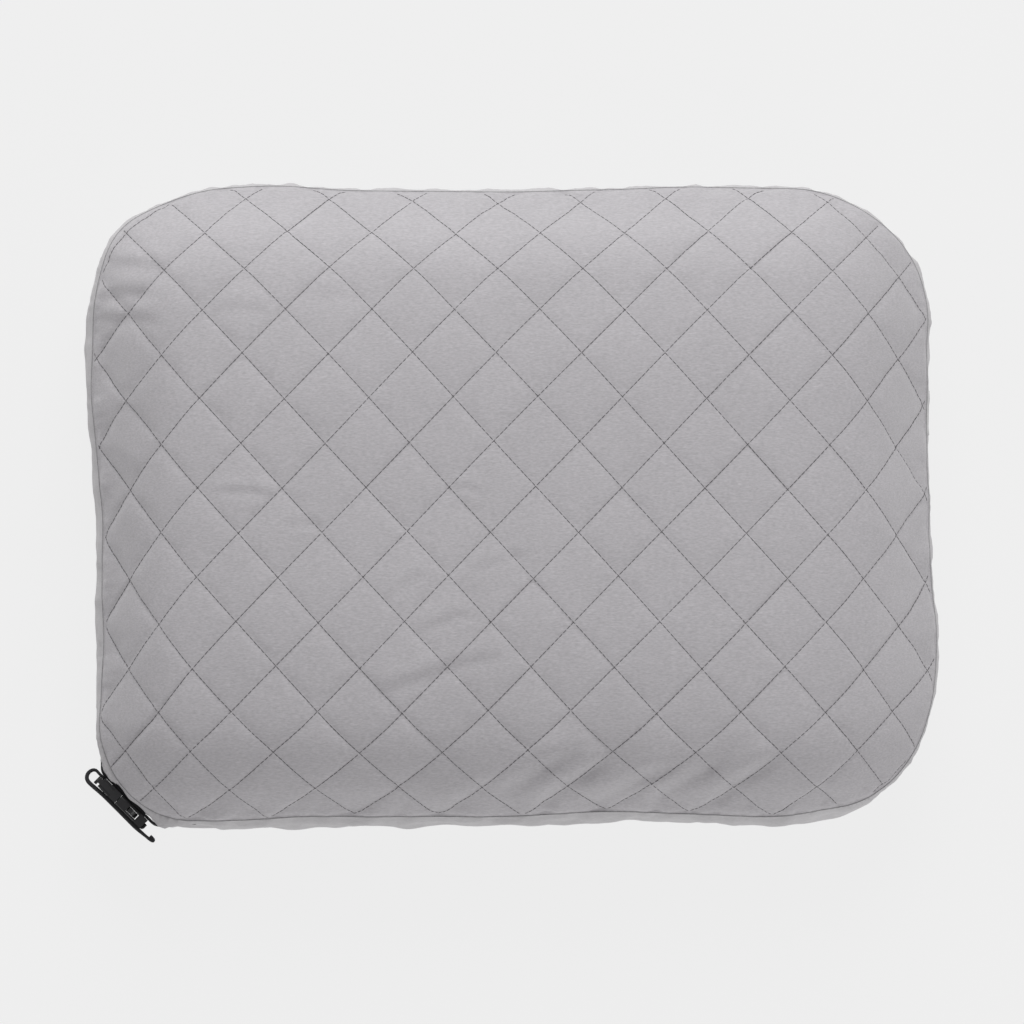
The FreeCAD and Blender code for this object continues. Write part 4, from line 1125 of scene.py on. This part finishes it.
# Topstitching round the zipper's slit, on the cover.
TOPSTITCH = 2.4 * MM
corners = [(-MOUTH - TOPSTITCH, SLIT[0] - TOPSTITCH), (MOUTH + TOPSTITCH, SLIT[0] - TOPSTITCH)]
corners += [(MOUTH + TOPSTITCH, SLIT[1] + TOPSTITCH), (-MOUTH - TOPSTITCH, SLIT[1] + TOPSTITCH)]
round_slit = resample(np.array(corners), 2.8 * MM, closed=True)
ahead = np.roll(round_slit, -1, axis=0)
ends = round_slit + (ahead - round_slit) * 0.86
outwards = -lattice_normals(panel_points)
slit_row = lay_stitches("slit_stitches", round_slit, ends, 0.2 * MM, panel, panel_points, outwards, THREAD)
show(slit_row, "pillow", seam_thread_and_shade)

# ---------------- the care label

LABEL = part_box("care_label")
label_y = np.linspace(LABEL[0][1], LABEL[1][1], 19)
hang = np.linspace(0.3 * MM, LABEL[1][2] - LABEL[0][2], 25)
label_flat = np.stack(np.meshgrid(HALF[0] - BOTTOM_ROLL + LOW_EDGE - hang, label_y, indexing="ij"), -1)
label_points = panel.sample(panel_points, label_flat)
label_out = panel.sample(outwards, label_flat)
share = (hang / hang[-1])[:, None]
ripple = 0.25 * np.sin((label_y - label_y[0]) / (LABEL[1][1] - LABEL[0][1]) * 5) * share
label_points += label_out * ((0.3 + 0.15 * share**2 + 0.4 * ripple) * MM)[..., None]
grid = np.arange(label_points[..., 0].size).reshape(label_points.shape[:2])
label_faces = np.stack([grid[:-1, :-1], grid[1:, :-1], grid[1:, 1:], grid[:-1, 1:]], -1).reshape(-1, 4)
label = make_mesh("soft_label", label_points.reshape(-1, 3), label_faces)
thicken(label, 0.25 * MM, 0)
show(label, "pillow", dyed_cloth("label_tape", (0.6, 0.6, 0.6), 1600.0))
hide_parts("care_label")

# ---------------- floor, light and camera


def floor():
    """A wide pale floor that glows a little, so that it stays even."""
    bpy.ops.mesh.primitive_plane_add(size=30)
    plane = bpy.context.object
    plane.name = "floor"
    m = Nodes("floor_white")
    shade = m.add("ShaderNodeBsdfDiffuse", {"Color": (0.8, 0.8, 0.8, 1)}).outputs[0]
    glow = m.add("ShaderNodeEmission", {"Color": (0.87, 0.87, 0.87, 1)}).outputs[0]
    mixed = m.add("ShaderNodeMixShader", {"Fac": 0.93, 1: shade, 2: glow}).outputs[0]
    m.put(next(n for n in m.tree.nodes if n.type == "OUTPUT_MATERIAL").inputs["Surface"], mixed)
    plane.data.materials.append(m.material)


def soft_light(name, place, size, power):
    """A round soft light, aimed at the middle of the floor under the pillow."""
    light = bpy.data.lights.new(name, "AREA")
    light.shape, light.size, light.energy = "DISK", size, power
    lamp = bpy.data.objects.new(name, light)
    bpy.context.scene.collection.objects.link(lamp)
    lamp.location = place
    lamp.rotation_euler = (-Vector(place)).to_track_quat("-Z", "Y").to_euler()


def camera():
    """Looks almost straight down on the pillow from far away, through a long lens."""
    data = bpy.data.cameras.new("camera")
    data.sensor_width, data.lens = 36, 260
    lens = bpy.data.objects.new("camera", data)
    bpy.context.scene.collection.objects.link(lens)
    view_width = 0.558
    distance = view_width * data.lens / data.sensor_width
    back = Vector((-0.045, -0.045, 1)).normalized()
    aim = Vector((0.0, -0.003, SEAM_Z))
    right = Vector((0, 1, 0)).cross(back).normalized()
    turn = Matrix((right, back.cross(right), back)).transposed()
    lens.matrix_world = Matrix.Translation(aim + back * distance) @ turn.to_4x4()
    data.clip_end = 100
    bpy.context.scene.camera = lens


floor()
camera()
soft_light("sky_soft", (0.1, 1.9, 1.6), 1.6, 44)
soft_light("front_fill", (1.1, -1.9, 1.0), 1.8, 19)
soft_light("left_fill", (-2.1, 0.9, 1.0), 1.8, 8)
world = bpy.data.worlds.new("studio")
world.use_nodes = True
background = world.node_tree.nodes["Background"]
background.inputs["Color"].default_value = (1, 0.985, 1, 1)
background.inputs["Strength"].default_value = 0.35
bpy.context.scene.world = world
bpy.context.scene.view_settings.view_transform = "Standard"
